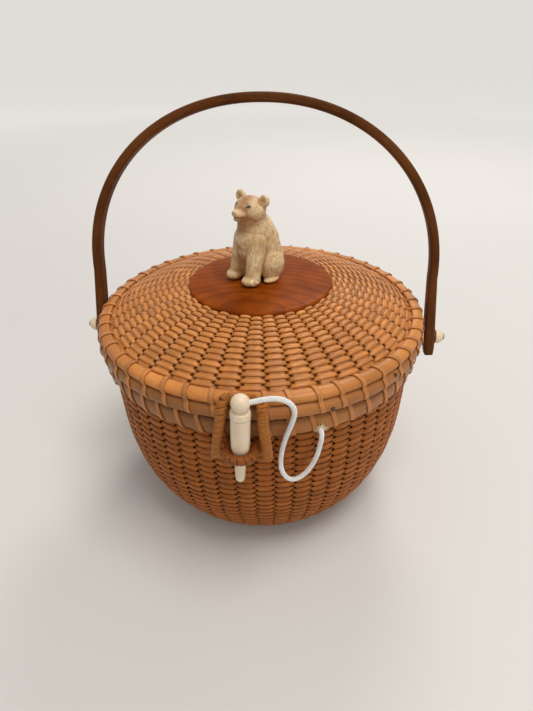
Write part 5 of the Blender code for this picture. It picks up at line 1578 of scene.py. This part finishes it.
# Hoops: flat side, crown, low edge, high edge and shoulder
BODY_OUTER_HOOP, BODY_INNER_HOOP = (94.7, 97.75, 107.4, 117.6, 96.0), (91.1, 88.5, 107.4, 117.6, 90.0)
LID_OUTER_HOOP, LID_INNER_HOOP = (93.2, 100.0, 119.1, 127.5, 96.2), (90.0, 87.4, 119.1, 127.3, 88.7)
# The shares of a lash over which its slant is measured
BODY_LASH_OUTSIDE, LID_LASH_OUTSIDE = 0.4, 0.72
BODY_CAP = (
    (88.7, 117.95), (96.0, 117.95), (96.4, 118.3), (96.2, 118.8), (92.5, 119.0), (88.8, 118.8), (88.5, 118.4),
    (88.7, 117.95),
)
BODY_LASH = (
    (95.6, 106.9), (97.4, 107.9), (98.15, 110.2), (98.25, 113.0), (98.0, 115.8), (97.2, 118.3), (94.5, 119.25),
    (91.0, 119.3), (88.6, 118.9), (87.9, 116.5), (87.85, 112.0), (88.0, 108.0), (89.5, 107.0),
)
LID_STRIP = (
    (92.6, 131.2), (92.9, 128.6), (96.6, 128.0), (98.5, 128.3), (99.0, 129.6), (98.7, 131.2), (97.6, 132.25),
    (95.5, 132.75), (93.4, 132.7), (92.5, 132.3), (92.6, 131.2),
)
LID_SKIRT = ((90.1, 119.5), (93.1, 119.5), (93.1, 130.6), (92.0, 131.2), (90.1, 131.2), (90.1, 119.5))
LID_LASH = (
    (95.0, 118.8), (97.4, 119.2), (99.6, 120.9), (100.45, 123.4), (100.0, 125.8), (98.9, 127.6), (99.35, 129.4),
    (99.1, 131.4), (97.8, 132.75), (95.5, 133.3), (93.0, 133.1), (91.6, 131.9), (91.0, 130.2),
)
BASE_OUTLINE = (
    (0.0, 0.0), (64.8, 0.0), (65.6, 0.2), (66.0, 0.8), (66.0, 2.2), (65.8, 2.4), (61.0, 2.4), (61.0, 5.2), (65.8, 5.2),
    (66.0, 5.4), (66.0, 6.2), (65.6, 6.8), (64.8, 7.0), (0.0, 7.0),
)
PLATE_OUTLINE = (
    (0.0, 141.4), (38.6, 141.4), (39.0, 141.8), (39.3, 144.0), (43.4, 144.4), (43.75, 144.8), (43.8, 146.6),
    (43.65, 147.2), (43.2, 147.6),
)
# Pivots: (piece, start along X, outline, finish, slot, node)
PIVOT_PARTS = (
    (
        "turned_knob", 110.3,
        ((0.0, 0.0), (4.0, 0.0), (4.3, 0.4), (4.35, 1.0), (4.3, 1.9), (3.9, 3.0), (3.2, 3.9), (2.5, 4.4), (0.0, 4.5)),
        "ivory", "ivory", "handle_knob",
    ),
    (
        "turned_washer", 99.0, ((0.0, 0.0), (3.7, 0.0), (4.0, 0.4), (4.0, 3.2), (3.7, 3.6), (0.0, 3.6)), "ivory",
        "ivory", "handle_washer",
    ),
    (
        "turned_rivet", 86.2, (
            (0.0, 0.0), (2.6, 0.1), (3.3, 0.6), (3.4, 1.3), (1.7, 1.5), (1.6, 2.0), (1.6, 27.6), (1.7, 28.3),
            (2.3, 28.4), (2.2, 29.0), (1.6, 29.6), (0.0, 29.8),
        ),
        "brass", "brass", "pivot_rivet",
    ),
)
PEG_OUTLINE = (
    (0.0, 0.9), (1.5, 1.1), (2.25, 2.3), (2.5, 4.5), (2.68, 9.0), (2.9, 14.0), (3.15, 18.0), (3.45, 20.2), (3.95, 21.6),
    (4.4, 23.6), (4.6, 27.0), (4.66, 32.0), (4.7, 37.5), (4.72, 41.0), (4.7, 42.0), (4.42, 42.25), (4.42, 42.45),
    (4.8, 42.75), (4.9, 43.6), (4.82, 44.4), (4.62, 44.6), (4.62, 44.75), (4.8, 45.0), (4.72, 45.7), (4.2, 46.3),
    (3.4, 46.55), (3.2, 46.8), (3.55, 47.25), (4.1, 48.2), (4.45, 49.3), (4.55, 50.3), (4.45, 51.3), (4.1, 52.4),
    (3.5, 53.3), (2.6, 54.1), (1.4, 54.6), (0.0, 54.8),
)
FITTINGS = {
    "strap leather": (
        "hinge_strap_basket_left", "hinge_strap_basket_right", "hinge_strap_lid_left", "hinge_strap_lid_right",
    ),
    "brass": ("hinge_rod_left", "hinge_rod_right", "bear_screw"), "dark nail": ("lid_hoop_nail_1", "lid_hoop_nail_2"),
}
OPERATORS = (
    BASKET_OT_stage, BASKET_OT_cord, BASKET_OT_body, BASKET_OT_lid, BASKET_OT_body_rim, BASKET_OT_lid_rim,
    BASKET_OT_boards, BASKET_OT_bear, BASKET_OT_handle, BASKET_OT_pivots, BASKET_OT_ring, BASKET_OT_hasp, BASKET_OT_peg,
    BASKET_OT_fittings,
)
SETTINGS = {
    "basket_weave": BasketWeaveSettings, "basket_rims": BasketRimSettings, "basket_clasp": BasketClaspSettings,
    "basket_bear": BasketBearSettings, "basket_colours": BasketColours,
}


def register():
    for kind in (*SETTINGS.values(), *OPERATORS, BASKET_PT_maker):
        bpy.utils.register_class(kind)
    for name, kind in SETTINGS.items():
        setattr(bpy.types.Scene, name, PointerProperty(type=kind))


def unregister():
    for name in SETTINGS:
        delattr(bpy.types.Scene, name)
    for kind in (BASKET_PT_maker, *reversed(OPERATORS), *SETTINGS.values()):
        bpy.utils.unregister_class(kind)


def main():
    register()
    make_materials(bpy.context.scene.basket_colours)
    for build in (weaver_tree, stave_tree, lash_tree, winding_tree):
        build()
    for kind in OPERATORS:
        group, name = kind.bl_idname.split(".")
        getattr(getattr(bpy.ops, group), name)()


if __name__ == "__main__":
    main()
